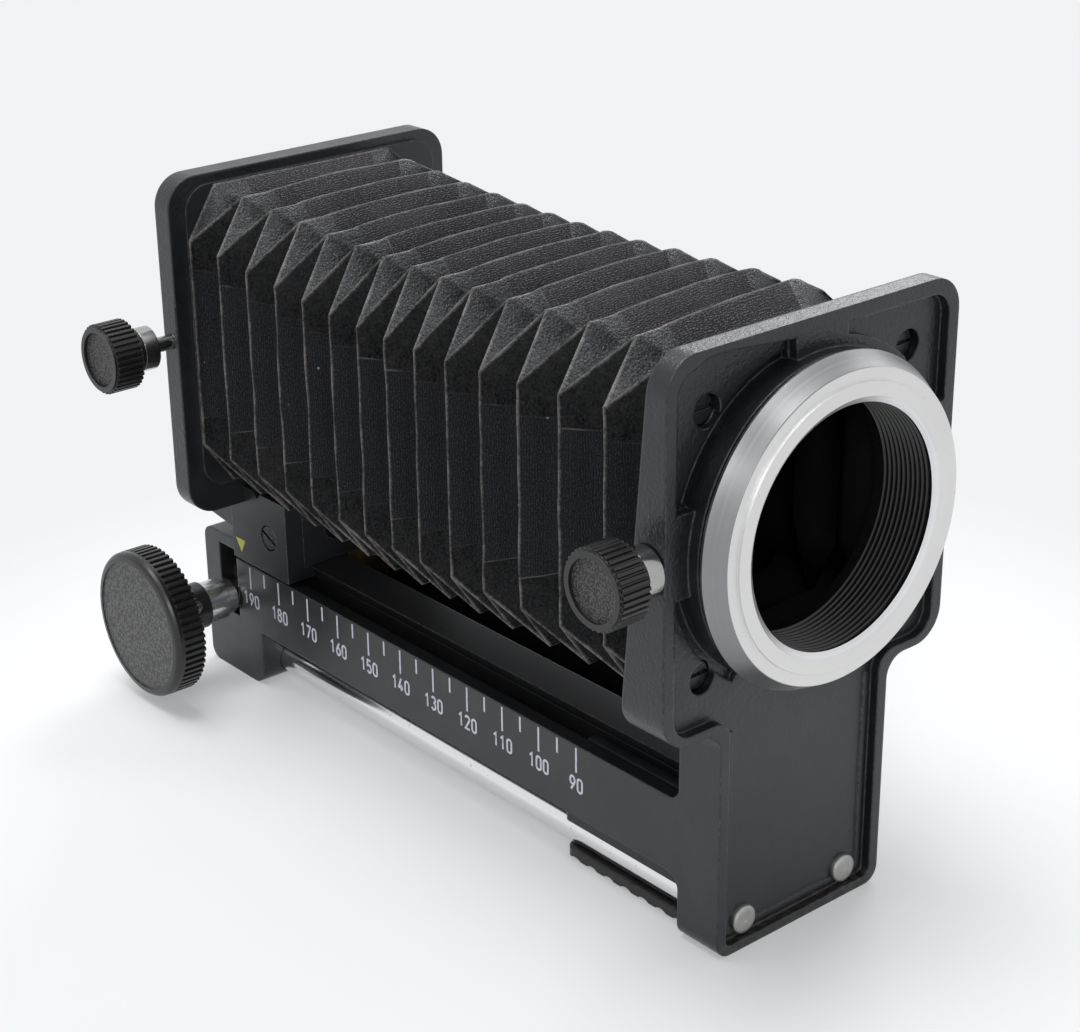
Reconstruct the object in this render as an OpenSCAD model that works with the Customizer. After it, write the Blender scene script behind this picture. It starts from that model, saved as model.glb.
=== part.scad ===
// Macro bellows unit: a fixed lens standard and base in one casting, a carriage that
// slides on dovetail rails with the camera standard on it, and a pleated bellows between them.
// The origin is on the optical axis, at the front face of the lens ring.
// +Y runs back along the optical axis to the camera, +Z is up, and the scale is on the -X side.

/* [Optical axis] */
// Height of the optical axis above the table
axis_height = 74.7; // [72:0.1:80]
// Distance from the lens ring's face to the camera ring's face
register_gap = 147; // [147:0.5:150]

/* [Front standard] */
// Width of both standards
standard_w = 64.8; // [60:0.2:70]
// Top edge of both standards above the axis
standard_top = 33.4; // [32:0.1:36]
// Lower edge of the front standard, where the leg starts, below the axis
standard_drop = 31.5; // [31:0.1:34]
// Corner radius of both standards
standard_corner = 6; // [3:0.5:8]
// Front plane of the raised rim
rim_y = 7.4; // [7:0.1:8]
// Depth of the recessed face behind the rim
recess = 1.8; // [1:0.1:2.2]
// Thickness of the wall behind the recessed face
wall = 4; // [3:0.1:4.2]
// Width of the leg and of the base
leg_w = 39; // [38:0.2:44]
// Depth of the leg from front to back
leg_depth = 9.6; // [9:0.1:11]

/* [Base] */
// Height of each side panel
panel_h = 14.2; // [12:0.1:15]
// Thickness of each side panel
panel_t = 3; // [2:0.1:3.2]
// Top edge of the side panels below the axis
panel_drop = 48.5; // [48:0.1:50]
// Thickness of the deck between the panels
deck_t = 1.8; // [1.2:0.1:2.4]
// Rear face of the base
base_end = 158.8; // [158:0.2:164]
// Thickness of the rear wall
rear_wall = 5.4; // [5:0.1:6]
// Length of the rear block under the base
block_len = 19.3; // [17:0.1:22]

/* [Lens ring] */
// Minor radius of the M42 x 1 lens thread
thread_minor_r = 20.46; // [20.4:0.01:20.6]
// Major radius of the M42 x 1 camera thread
thread_major_r = 20.95; // [20.8:0.01:21]
// Radius of the ring's front edge
ring_front_r = 26; // [25:0.1:27]
// Radius of the ring's rear edge
ring_rear_r = 28; // [27:0.1:29]
// Depth of the ring's head
ring_head = 4.6; // [4:0.1:5]
// Radius of the ring's spigot in the standard
spigot_r = 23.9; // [23.5:0.1:24.2]

/* [Knobs] */
// Radius of the drive knob
drive_knob_r = 15.1; // [14:0.1:15.6]
// Outer face of the drive knob, left of the axis
drive_face = 42; // [40:0.5:46]
// Radius of the lock knobs
lock_knob_r = 6.7; // [6:0.1:7.5]
// Outer face of the front lock knob, left of the axis
lock_face = 43.7; // [43:0.1:46]
// How far the rear lock screw is backed out
rear_lock_out = 4.6; // [4:0.1:6]

/* [Bellows] */
// Half width of the folds at their ridges
ridge_half = 29; // [28:0.1:29.4]
// Depth of the folds
fold_depth = 6; // [4:0.1:7]
// Number of folds
folds = 14; // [10:1:18]
// How far the middle of the bellows sags
sag = 4; // [0:0.5:5]
// Thickness of the bellows cloth
cloth = 0.7; // [0.5:0.1:1]

/* [Foot] */
// Length of the tripod foot
foot_len = 31.5; // [28:0.5:40]
// Radius of the two foot rods
rod_r = 3.3; // [3:0.1:3.4]
// Tap radius of the 3/8 inch tripod thread
tripod_r = 3.97; // [3.9:0.01:4.05]

/* [Drive] */
// Axial travel for one turn of the lead screw
screw_lead = 10; // [6:0.5:16]
// Teeth on each bevel gear
gear_teeth = 14; // [12:1:16]

/* [Hidden] */
$fn = 64;
eps = 0.02;        // overlap that joins two solids of one piece
fit = 0.03;        // radial clearance of a screw or bush in its hole
run = 0.08;        // radial clearance of a running fit

floor_z = -axis_height;
half_w = standard_w / 2;
leg_half = leg_w / 2;
bolt_z = 0.5;                          // centre height of the bellows and its screws
bolt_pitch = 22.3;                     // frame screws either side of the axis
face_y = rim_y + recess;               // recessed front face
front_head_y = face_y + 1.6;           // heads of the front frame screws
inner_y = face_y + wall;               // inside of the standard's front wall
leg_y = rim_y + leg_depth;             // rear face of the leg
back_top = 11.2;                       // rear edge of the standard at its top
back_slope = 0.0955;                   // how much deeper it gets per mm downward
boss_r = 27.6;
boss_y = ring_head + 0.6;

panel_top = -panel_drop;
panel_low = panel_top - panel_h;
deck_top = panel_low + deck_t;
panel_end = 147.3;                     // rear edge of the side panels
wall_y = base_end - rear_wall;         // front face of the rear wall
scale_y = 42.5;                        // first long mark of the scale
lip_y = panel_end + 0.15;              // front edge of the lip that stops the carriage
lip_top = -44.4;
lip_t = 2.4;
block_y = base_end - block_len;
block_top = -61.5;

rail_half = 14.5;
rail_inner = 6;
rail_top = -45.2;
rail_h = 3.2;
rail_undercut = 1.9;
rail_bed = rail_top - rail_h;
bed_inner = 7;
bed_outer = 12.4;
rail_screw_y = [28, 82, 136];
rail_screw_x = 10;
rail_head = -12.6;                     // seat of the rail screws' heads below the beds' top

rod_x = 12.1;
rod_z = -70.2;
rod_front = 11.6;                      // shoulder of each rod inside the leg
rod_back = 150;
rivet_r = 2.6;

plate_y = 142.2;                       // front face of the camera standard
plate_t = 4.6;
plate_back = plate_y + plate_t;
plate_low = -34.3;
flange_y = 143.9;                      // seat of the camera ring
flange_r = 27.5;
tail_r = 23;

car_front = 127.9;
car_back = lip_y - 0.3;
car_half = 20;
car_top = -31;
car_low = -47.6;
slide_gap = 0.15;                      // clearance between the carriage and the rails
cheek_t = 4;
cheek_screw_y = 134.1;
cheek_screw_z = -39.7;
tongue_half = 13;
tongue_low = -42;
tongue_t = 3.9;
tongue_screw_x = [-8, 8];
tongue_screw_z = -38.2;

shaft_y = 150.2;
shaft_z = -57.6;
nut_y = 128.5;
nut_len = 8;
nut_r = 3.6;
nut_stud_y = [130.6, 134.4];
screw_r = 2.5;
journal_r = 2;
bush_r = 3.4;
bearing_y = 139;
bearing_t = 4.3;
bearing_top = -52;                     // top of the walls that hold the bushes
shaft_r = 2.6;
shaft_bush_x = -16.2;                  // outer end of the drive shaft's bush
shaft_bush_len = 5;
knob_bore_r = 2.01;
grub_x = -30.4;
grub_turn = 65;                        // direction of the grub screw about the shaft
pitch_r = 4;                           // pitch radius of the bevel gears

frame_t = 1;
front_frame_y = inner_y;
rear_frame_y = plate_y - frame_t;
frame_half = 29.2;
frame_top = 31.1;
bellows_y0 = front_frame_y + frame_t;
bellows_y1 = rear_frame_y;
ridge_up = 30.9;                       // ridges above and below the bellows centre
ridge_down = 29;
top_share = 0.6;                       // sag of the upper ridges, as a share of the sag
side_up = 21.1;                        // upper ends of the side ridges above the centre
corner_x = 6.3;                        // corner cuts of the ridges
corner_right = 10.5;
corner_z = 9;

lock_y = 11.2;
lock_z = -0.8;
rear_lock_y = 144.6;
rear_lock_z = 1.6;
lock_rim = 6;                          // width of the lock knob's knurled rim
lock_neck = 2;
lock_collar = 3;
stud_r = 1.45;
stud_len = 9.2;

foot_y = 18.2;
foot_half = 16.2;
foot_mid = foot_y + foot_len / 2;
foot_low = floor_z + 0.2;
foot_split = -72.8;                    // top of the foot's thin outer edges
jaw_low = -67.5;
jaw_top = -64.9;
foot_screw_r = 2;

BLACK = [0.10, 0.10, 0.11];
SATIN = [0.16, 0.16, 0.17];
CLOTH = [0.13, 0.13, 0.15];
STEEL = [0.72, 0.73, 0.75];
BRIGHT = [0.86, 0.86, 0.86];
BRASS = [0.75, 0.62, 0.32];
YELLOW = [0.85, 0.82, 0.25];
WHITE = [0.92, 0.92, 0.92];

// ---- placing helpers ----

// Extrude a drawing in X and Z from y0 to y1
module along_y(y0, y1) {
    translate([0, y1, 0])
        rotate([90, 0, 0])
            linear_extrude(y1 - y0) children();
}

// Extrude a drawing in Y and Z from x0 to x1
module along_x(x0, x1) {
    translate([x0, 0, 0])
        rotate([90, 0, 90])
            linear_extrude(x1 - x0) children();
}

// Cylinder along Y with its axis at x, z
module rod_along_y(r, y0, y1, x = 0, z = 0) {
    translate([x, y1, z])
        rotate([90, 0, 0])
            cylinder(r = r, h = y1 - y0);
}

// Cylinder along X with its axis at y, z
module rod_along_x(r, x0, x1, y, z) {
    translate([x0, y, z])
        rotate([0, 90, 0])
            cylinder(r = r, h = x1 - x0);
}

// Turn a profile of radius and y about the optical axis
module turned_y() {
    rotate([-90, 0, 0])
        rotate_extrude($fn = 96) children();
}

// Box between two corners
module block(low, high) {
    translate(low) cube(high - low);
}

// Rectangle with round corners between two corners
module round_rect(low, high, r) {
    translate(low + [r, 0]) square([high[0] - low[0] - 2 * r, high[1] - low[1]]);
    translate(low + [0, r]) square([high[0] - low[0], high[1] - low[1] - 2 * r]);
    for (a = [low[0] + r, high[0] - r])
        for (b = [low[1] + r, high[1] - r])
            translate([a, b]) circle(r = r, $fn = 48);
}

// Knurled outline: n straight ridges on a circle
module knurl_outline(r, depth, n) {
    step = 360 / n;
    root = r - depth;
    polygon([
        for (i = [0 : n - 1])
            for (p = [[0, r], [0.42, r], [0.6, root], [0.82, root]])
                p[1] * [cos((i + p[0]) * step), sin((i + p[0]) * step)]
    ]);
}

// Children at the four frame screws
module at_frame_screws() {
    for (x = [-bolt_pitch, bolt_pitch])
        for (z = [-bolt_pitch, bolt_pitch])
            translate([x, 0, bolt_z + z]) children();
}

// Children at the screws of both rails, on the beds
module at_rail_screws() {
    for (side = [-1, 1])
        for (y = rail_screw_y)
            translate([side * rail_screw_x, y, rail_bed]) children();
}

// Slotted screw along +Y from y0, head first
module slotted_screw(head_r, head_h, shank_r, length) {
    difference() {
        rod_along_y(head_r, 0, head_h);
        block([-head_r, -1, -0.35], [head_r, 0.6, 0.35]);
    }
    rod_along_y(shank_r, head_h - eps, length);
}

// ---- fixed pieces ----

// Outline of the front standard and its leg
module front_outline(inset = 0) {
    r = standard_corner - inset / 2;
    round_rect([-half_w + inset, -standard_drop + inset], [half_w - inset, standard_top - inset], r);
    round_rect([-leg_half + inset, floor_z + inset], [leg_half - inset, 0], 3);
}

// Concave fillet where the leg meets the standard, on the right of the axis
module leg_fillet(r) {
    translate([leg_half - eps, -standard_drop - r])
        difference() {
            square([r, r + eps]);
            translate([r + eps, 0]) circle(r = r, $fn = 48);
        }
}

module front_body() {
    intersection() {
        along_y(rim_y, leg_y) {
            front_outline();
            leg_fillet(4);
            mirror([1, 0]) leg_fillet(4);
        }
        // The rear edge slopes back from the top of the standard
        along_x(-half_w - 1, half_w + 1)
            polygon([
                [0, standard_top + 1],
                [back_top, standard_top + 1],
                [back_top + (standard_top - floor_z / 3) * back_slope, floor_z / 3],
                [leg_y, -standard_drop],
                [leg_y, floor_z - 1],
                [0, floor_z - 1]
            ]);
    }
}

// Recess of the leg, drawn in by inset
module leg_recess(inset = 0) {
    side = leg_half - 2 - inset;
    round_rect([-side, floor_z + 1.6 + inset], [side, 0], 1.5);
}

// Recess of the standard, without the lands between its pockets
module wing_recess() {
    side = half_w - 2.3;
    top = standard_top - 2.6;
    low = 1.5 - standard_drop;
    difference() {
        union() {
            round_rect([-side, low], [side, top], 4);
            // The rim is thinner above the left pocket
            polygon([
                [1.5 - side, top - 2.8], [3.1 - side, top - 0.2], [6.1 - side, top + 1.2],
                [10.1 - side, top + 1.3], [-5.4, top - 0.1], [-5.4, top - 3]
            ]);
        }
        // Lands at the top and at both sides, level with the rim
        polygon([[-4.3, 20], [-5.7, standard_top], [6.2, standard_top], [6.2, 20]]);
        translate([-half_w, -5.6]) square([12, 14]);
        translate([half_w - 12, -7]) square([12, 19]);
        intersection() {
            circle(r = boss_r + 1.9, $fn = 96);
            square(half_w);
        }
    }
}

module front_recess() {
    low = 1.5 - standard_drop;
    along_y(rim_y - 1, face_y) {
        wing_recess();
        leg_recess();
        // Round corners where the rim turns down to the leg
        translate([2 - leg_half + eps, low + eps]) rotate(180) corner_fillet(3.5);
        mirror([1, 0]) translate([2 - leg_half + eps, low + eps]) rotate(180) corner_fillet(3.5);
    }
}

// Low bead inside the rim of the leg, interrupted at the rivets
module leg_bead() {
    difference() {
        along_y(face_y - 0.35, face_y + eps)
            difference() {
                leg_recess(0.9);
                leg_recess(2.1);
                translate([-leg_half, -standard_drop - 2]) square([leg_w, 40]);
            }
        for (x = [-rod_x, rod_x]) rod_along_y(rivet_r + 0.1, 0, face_y + 1, x, rod_z);
    }
}

// Arc groove in the recessed face, between two radii and two angles
module arc_groove(r0, r1, a0, a1, depth) {
    steps = 12;
    arc = [for (i = [0 : steps]) a0 + (a1 - a0) * i / steps];
    along_y(face_y - eps, face_y + depth)
        polygon(concat(
            [for (a = arc) r1 * [cos(a), sin(a)]],
            [for (i = [0 : steps]) r0 * [cos(arc[steps - i]), sin(arc[steps - i])]]
        ));
}

module side_panel() {
    along_x(-leg_half, -leg_half + panel_t) {
        translate([leg_y - eps, panel_low]) square([panel_end - leg_y + eps, panel_h]);
        // Fillets at the front plate, above and below the panel
        translate([leg_y - eps, panel_top - eps]) corner_fillet(2.5);
        translate([leg_y - eps, panel_low + eps]) mirror([0, 1]) corner_fillet(3);
    }
}

// Small concave fillet in the corner at the origin
module corner_fillet(r) {
    difference() {
        square([r, r]);
        translate([r, r]) circle(r = r, $fn = 32);
    }
}

// Side view of the rear end: wall with a lip at its top and the block at its foot
module rear_outline() {
    round_rect([wall_y, floor_z], [base_end, lip_top], 2.6);
    translate([wall_y, floor_z + 4]) square([rear_wall - 2.6, 20]);
    translate([lip_y, lip_top - lip_t]) square([base_end - 3 - lip_y, lip_t]);
    round_rect([block_y, floor_z], [base_end, block_top], 3.5);
    translate([block_y, block_top - 4]) square([wall_y - block_y, 4]);
    translate([wall_y, block_top - 4]) square([rear_wall, 6]);
}

module rail_beds() {
    for (side = [-1, 1])
        block(
            [side > 0 ? bed_inner : -bed_outer, leg_y - eps, deck_top - eps],
            [side > 0 ? bed_outer : -bed_inner, panel_end, rail_bed]
        );
}

// Wall across the deck that holds a bush of the lead screw
module bush_wall(y0, y1) {
    block([-bed_inner - eps, y0, deck_top - eps], [bed_inner + eps, y1, bearing_top]);
}

module base_casting() color(BLACK) {
    difference() {
        union() {
            difference() {
                front_body();
                front_recess();
            }
            leg_bead();
            rod_along_y(boss_r, boss_y, face_y + eps);
            side_panel();
            mirror([1, 0, 0]) side_panel();
            block([-leg_half + 1, leg_y - eps, panel_low + 0.2], [leg_half - 1, block_y + 8, deck_top]);
            rail_beds();
            along_x(-leg_half, leg_half) rear_outline();
            // Walls that hold the three bushes
            bush_wall(leg_y - eps, leg_y + 4.2);
            bush_wall(bearing_y, bearing_y + bearing_t);
            block(
                [shaft_bush_x, shaft_y - bush_r - 1.2, deck_top - eps],
                [shaft_bush_x + shaft_bush_len, wall_y + eps, shaft_z + bush_r + 0.9]
            );
            // Rounded ribs beside the front ends of the rails
            for (side = [-1, 1])
                rod_along_y(1.9, leg_y - eps, 44, side * 14.4, -50.8);
        }
        rod_along_y(spigot_r + run, 0, inner_y + 10);
        // Room behind the front wall for the bellows
        along_y(inner_y, leg_y + 1)
            round_rect([-30.2, -standard_drop + 2], [30.2, standard_top + 5], 4);
        // Troughs beside the boss
        arc_groove(boss_r - 0.2, 29.4, 101, 162, 1.4);
        arc_groove(boss_r - 0.2, 29.2, 193, 238, 1.2);
        // Frame screws
        at_frame_screws() {
            rod_along_y(1.25 + fit, 0, 20);
            rod_along_y(2.75, 0, front_head_y + 1.3);
        }
        // Lock screw
        rod_along_x(stud_r + fit, -half_w - 1, -spigot_r + 2, lock_y, lock_z);
        // Foot rods
        for (x = [-rod_x, rod_x]) {
            rod_along_y(rod_r + run, rod_front, rod_back + 0.2, x, rod_z);
            rod_along_y(1.6 + fit, 0, 20, x, rod_z);
        }
        // Bushes and the gear space
        rod_along_y(bush_r + fit, leg_y + 0.2, leg_y + 5, 0, shaft_z);
        rod_along_y(bush_r + fit, bearing_y - 1, bearing_y + bearing_t + 1, 0, shaft_z);
        rod_along_x(
            bush_r + fit, shaft_bush_x - 0.05, shaft_bush_x + shaft_bush_len + 0.05, shaft_y, shaft_z
        );
        block([-10.4, bearing_y + bearing_t, -64.2], [10.4, wall_y + 2.2, -50.5]);
        // Channel in the deck under the nut
        block([-4.6, leg_y + 5, deck_top - 0.8], [4.6, bearing_y - 1, deck_top + 1]);
        // Rail screws, from below
        at_rail_screws() {
            translate([0, 0, rail_head - 5]) cylinder(r = 2.5, h = 5);
            translate([0, 0, rail_head - 1]) cylinder(r = 1.25 + fit, h = 4 - rail_head);
        }
    }
}

module dovetail_strip() {
    along_y(leg_y + 0.05, panel_end)
        polygon([
            [rail_inner, rail_top],
            [rail_half, rail_top],
            [rail_half - rail_undercut, rail_bed],
            [rail_inner, rail_bed]
        ]);
}

module guide_rails() color(SATIN) {
    difference() {
        union() {
            dovetail_strip();
            mirror([1, 0, 0]) dovetail_strip();
        }
        at_rail_screws() translate([0, 0, -1]) cylinder(r = 1.25 + fit, h = 3.3);
    }
}

module rail_screws() color(STEEL) {
    at_rail_screws()
        difference() {
            union() {
                translate([0, 0, rail_head - eps]) cylinder(r = 1.25, h = 2 - rail_head);
                translate([0, 0, rail_head - 1.4]) cylinder(r = 2.3, h = 1.4);
            }
            block([-3, -0.35, rail_head - 2], [3, 0.35, rail_head - 0.8]);
        }
}

// Rod from the leg to the rear block, its turned-down end riveted over in front
module foot_rod() {
    rod_along_y(rod_r, rod_front, rod_back);
    rod_along_y(1.6, face_y - 0.5, rod_front + eps);
    // Flat rivet head with a round edge
    translate([0, face_y - 0.02, 0])
        turned_y()
            polygon([
                [0, 0], [rivet_r, 0], [rivet_r, -0.55], [rivet_r - 0.1, -0.8],
                [rivet_r - 0.35, -0.98], [rivet_r - 0.8, -1.08], [0, -1.15]
            ]);
}

module foot_rods() color(STEEL) {
    for (x = [-rod_x, rod_x])
        translate([x, 0, rod_z]) foot_rod();
}

// Plain bush of the lead screw, from y0
module screw_bush(y0, length) {
    difference() {
        rod_along_y(bush_r, y0, y0 + length, 0, shaft_z);
        rod_along_y(journal_r + run, y0 - 1, y0 + length + 1, 0, shaft_z);
    }
}

module front_bush() color(BRASS) screw_bush(leg_y + 0.25, 4);

module rear_bush() color(BRASS) screw_bush(bearing_y, bearing_t);

module shaft_bush() color(BRASS) {
    far = shaft_bush_x + shaft_bush_len;
    difference() {
        rod_along_x(bush_r, shaft_bush_x, far, shaft_y, shaft_z);
        rod_along_x(shaft_r + run, shaft_bush_x - 1, far + 1, shaft_y, shaft_z);
    }
}

// Scale on the left panel: a long mark every 10 mm and a short one between
module scale_marks() color(WHITE) {
    for (i = [0 : 20]) {
        y = scale_y + i * 5;
        length = i % 2 == 0 ? 4.85 : 2.97;
        block(
            [-leg_half - 0.04, y - 0.22, panel_top - 0.5 - length],
            [-leg_half, y + 0.22, panel_top - 0.5]
        );
    }
}

// ---- lens side ----

module lens_ring() color(BRIGHT) {
    groove_r = spigot_r - 1.3;
    turned_y()
        polygon([
            [thread_minor_r, 0],
            [ring_front_r - 2, 0],
            [ring_front_r - 2, 0.3],
            [ring_front_r, 0.5],
            [ring_rear_r, ring_head - 0.6],
            [ring_rear_r, ring_head],
            [spigot_r, ring_head],
            // Groove for the tip of the lock screw
            [spigot_r, lock_y - 1.6],
            [groove_r, lock_y - 1],
            [groove_r, lock_y + 1],
            [spigot_r, lock_y + 1.6],
            [spigot_r, inner_y - 0.2],
            [thread_minor_r, inner_y - 0.2]
        ]);
}

module front_frame_screws() color(SATIN) {
    at_frame_screws()
        translate([0, front_head_y, 0])
            slotted_screw(2.5, 1.3, 1.25, front_frame_y + frame_t - front_head_y - 0.2);
}

// Sheet frame that an end of the bellows is glued to
module sheet_frame(y0, opening_r) {
    difference() {
        along_y(y0, y0 + frame_t)
            round_rect([-frame_half, bolt_z - frame_half], [frame_half, bolt_z + frame_top], 5);
        rod_along_y(opening_r, y0 - 1, y0 + 3);
        at_frame_screws() rod_along_y(1.25 + fit, y0 - 1, y0 + 3);
    }
}

module bellows_front_frame() color(SATIN) sheet_frame(front_frame_y, 25);

module bellows_rear_frame() color(SATIN) sheet_frame(rear_frame_y, 26.4);

// ---- bellows ----

// Place of ridge i along the axis; the folds lie closest together behind the middle
function fold_y(i) =
    let (t = i / folds)
    bellows_y0 + (bellows_y1 - bellows_y0) * t + 3.1 * sin(180 * t) + 2.4 * sin(360 * t);

// Eight-sided ring of the folds at ridge i, or at a valley half-way, drawn in by inset
function fold_ring(i, inset) =
    let (
        y = fold_y(i),
        w = ridge_half - inset,
        drop = sag * sin(180 * i / folds),
        top = bolt_z + ridge_up - top_share * drop - inset,
        high = bolt_z + side_up - drop - inset,
        low = bolt_z - ridge_down - drop + inset
    )
    [
        [-w, y, high], [corner_x - w, y, top],
        [w - corner_right, y, top], [w, y, high],
        [w, y, low + corner_z], [w - corner_x, y, low],
        [corner_x - w, y, low], [-w, y, low + corner_z]
    ];

function fold_points(inset) = [
    for (i = [0 : 2 * folds])
        each fold_ring(i / 2, inset + (i % 2 == 0 ? 0 : fold_depth))
];

function turned_over(faces) = [for (f = faces) [f[2], f[1], f[0]]];

// One fold between points a and b of its front ring, whose points start at f
function side_faces(f, a, b) = [
    [f + a, f + 8 + a, f + 8 + b], [f + a, f + 8 + b, f + b],
    [f + 8 + a, f + 16 + a, f + 16 + b], [f + 8 + a, f + 16 + b, f + 8 + b]
];

// Corner of one fold, with a crease from s on the rear ridge's side to e on the front ridge's edge
function corner_faces(f, s, e) = [
    [f + s, f + 8 + s, f + e], [f + 8 + s, f + 16 + s, f + e],
    [f + 16 + s, f + 8 + e, f + e], [f + 16 + s, f + 16 + e, f + 8 + e]
];

function skin_faces(first) = [
    for (m = [0 : folds - 1])
        let (f = first + 16 * m)
            each concat(
                corner_faces(f, 0, 1), side_faces(f, 1, 2),
                turned_over(corner_faces(f, 3, 2)), side_faces(f, 3, 4),
                corner_faces(f, 4, 5), side_faces(f, 5, 6),
                turned_over(corner_faces(f, 7, 6)), side_faces(f, 7, 0)
            )
];

// Outer and inner folded skins, joined by a rim at each end
module bellows() color(CLOTH) {
    inner = 8 * (2 * folds + 1);
    last = inner - 8;
    polyhedron(
        points = concat(fold_points(0), fold_points(cloth)),
        faces = concat(
            skin_faces(0),
            turned_over(skin_faces(inner)),
            [for (k = [0 : 7]) let (n = (k + 1) % 8) each [[k, n, inner + n], [k, inner + n, inner + k]]],
            [
                for (k = [last : last + 7])
                    let (n = k < last + 7 ? k + 1 : last)
                        each [[k, inner + n, n], [k, inner + k, inner + n]]
            ]
        )
    );
}

// ---- camera side ----

module rear_standard() color(BLACK) {
    difference() {
        union() {
            along_y(plate_y, plate_back)
                round_rect([-half_w, plate_low], [half_w, standard_top], standard_corner);
            // Tongue that stands in the carriage
            block(
                [-tongue_half, plate_y + 0.1, tongue_low],
                [tongue_half, plate_y + tongue_t, plate_low + eps]
            );
        }
        rod_along_y(tail_r + run, plate_y - 1, plate_back + 1);
        rod_along_y(flange_r + run, flange_y, plate_back + 1);
        at_frame_screws() {
            rod_along_y(1.25 + fit, plate_y - 1, plate_back + 1);
            rod_along_y(2.6, plate_back - 1.4, plate_back + 1);
        }
        rod_along_x(stud_r + fit, -half_w - 1, -flange_r + 1, rear_lock_y, rear_lock_z);
        for (x = tongue_screw_x)
            rod_along_y(1.5, plate_y - 1, plate_y + tongue_t + 1, x, tongue_screw_z);
    }
}

// Screws from the camera side into the bellows frame
module rear_frame_screws() color(SATIN) {
    at_frame_screws()
        translate([0, plate_back - 0.1, 0])
            mirror([0, 1, 0]) slotted_screw(2.4, 1.2, 1.25, plate_back - 0.1 - rear_frame_y - 0.1);
}

module standard_screws() color(STEEL) {
    for (x = tongue_screw_x)
        translate([x, car_front + 0.4, tongue_screw_z])
            slotted_screw(2.6, 2, 1.47, plate_y + tongue_t - car_front - 0.8);
}

module camera_ring() color(BRIGHT) {
    thread_len = 4.2;
    turned_y()
        polygon([
            [19, plate_y - 0.95],
            [tail_r, plate_y - 0.95],
            [tail_r, flange_y + 0.02],
            [flange_r, flange_y + 0.02],
            [flange_r, register_gap],
            [thread_major_r - 0.4, register_gap],
            [thread_major_r, register_gap + 0.5],
            [thread_major_r, register_gap + thread_len - 0.5],
            [thread_major_r - 0.5, register_gap + thread_len],
            [19, register_gap + thread_len]
        ]);
}

// Ring screwed on the camera ring's tail from the bellows side
module ring_retainer() color(SATIN) {
    turned_y()
        polygon([
            [tail_r + 0.01, plate_y - 0.9],
            [26, plate_y - 0.9],
            [26, plate_y - 0.05],
            [tail_r + 0.01, plate_y - 0.05]
        ]);
}

// Side of the carriage jaw that follows the dovetail, with clearance
function jaw_x(z) = rail_half + slide_gap - rail_undercut * (rail_top - z) / rail_h;

module carriage_block() color(SATIN) {
    body_left = -car_half + cheek_t;
    tail_end = 155.6;
    difference() {
        union() {
            block([body_left, car_front, rail_top + slide_gap], [car_half, car_back, car_top]);
            // Right jaw
            along_y(car_front, car_back)
                polygon([
                    [jaw_x(rail_top), rail_top + 1],
                    [car_half, rail_top + 1],
                    [car_half, car_low],
                    [jaw_x(car_low), car_low],
                    [jaw_x(rail_top), rail_top]
                ]);
            // Tail over the lip of the base, with a sloping top
            along_x(-19.4, 19.4)
                polygon([
                    [car_back - eps, -35.6],
                    [tail_end, -39],
                    [tail_end, -40.7],
                    [car_back - eps, -41.8]
                ]);
        }
        // Seat of the camera standard
        block([-50, plate_y - slide_gap, plate_low - 0.02], [50, car_back + 20, 0]);
        block(
            [-tongue_half - 0.05, plate_y - 0.1, tongue_low - 0.1],
            [tongue_half + 0.05, plate_y + tongue_t + 0.1, 0]
        );
        // Standard screws
        for (x = tongue_screw_x) {
            rod_along_y(1.5, car_front - 1, plate_y + tongue_t + 0.1, x, tongue_screw_z);
            rod_along_y(2.8, car_front - 1, car_front + 2.4, x, tongue_screw_z);
        }
        // Cheek screw and nut screws
        rod_along_x(1.25 + fit, body_left - 1, body_left + 7, cheek_screw_y, cheek_screw_z);
        for (y = nut_stud_y)
            translate([0, y, rail_top]) cylinder(r = 1 + fit, h = 5.4);
    }
}

// Left jaw of the carriage, held by one screw so that the play can be set
module index_cheek() color(SATIN) {
    inner = -car_half + cheek_t - 0.02;
    back = car_back - 0.03;
    difference() {
        union() {
            block([-car_half, car_front, rail_top + 0.5], [inner, back, car_top]);
            mirror([1, 0, 0])
                along_y(car_front, back)
                    polygon([
                        [jaw_x(rail_top), rail_top - 0.02],
                        [-inner, rail_top + 0.1],
                        [-inner, rail_top + 1],
                        [car_half, rail_top + 1],
                        [car_half, car_low],
                        [jaw_x(car_low), car_low]
                    ]);
        }
        // Rebate under the camera standard and a small notch in the top edge
        block([-50, plate_y - slide_gap, plate_low - 0.02], [0, car_back + 20, 0]);
        translate([0, 137.6, car_top])
            rotate([45, 0, 0])
                block([-30, -0.9, -0.9], [0, 0.9, 0.9]);
        rod_along_x(1.25 + fit, -30, 0, cheek_screw_y, cheek_screw_z);
        rod_along_x(2.7, -30, -car_half + 1.3, cheek_screw_y, cheek_screw_z);
    }
}

module cheek_screw() color(STEEL) {
    translate([-car_half + 0.15, cheek_screw_y, cheek_screw_z])
        rotate([0, 0, -90])
            rotate([0, 25, 0]) slotted_screw(2.4, 1.1, 1.25, 9.5);
}

module index_mark() color(YELLOW) {
    along_x(-car_half - 0.05, -car_half)
        polygon([[142.7, -43.1], [146, -43.1], [144.2, -45.9]]);
}

// ---- drive ----

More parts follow.
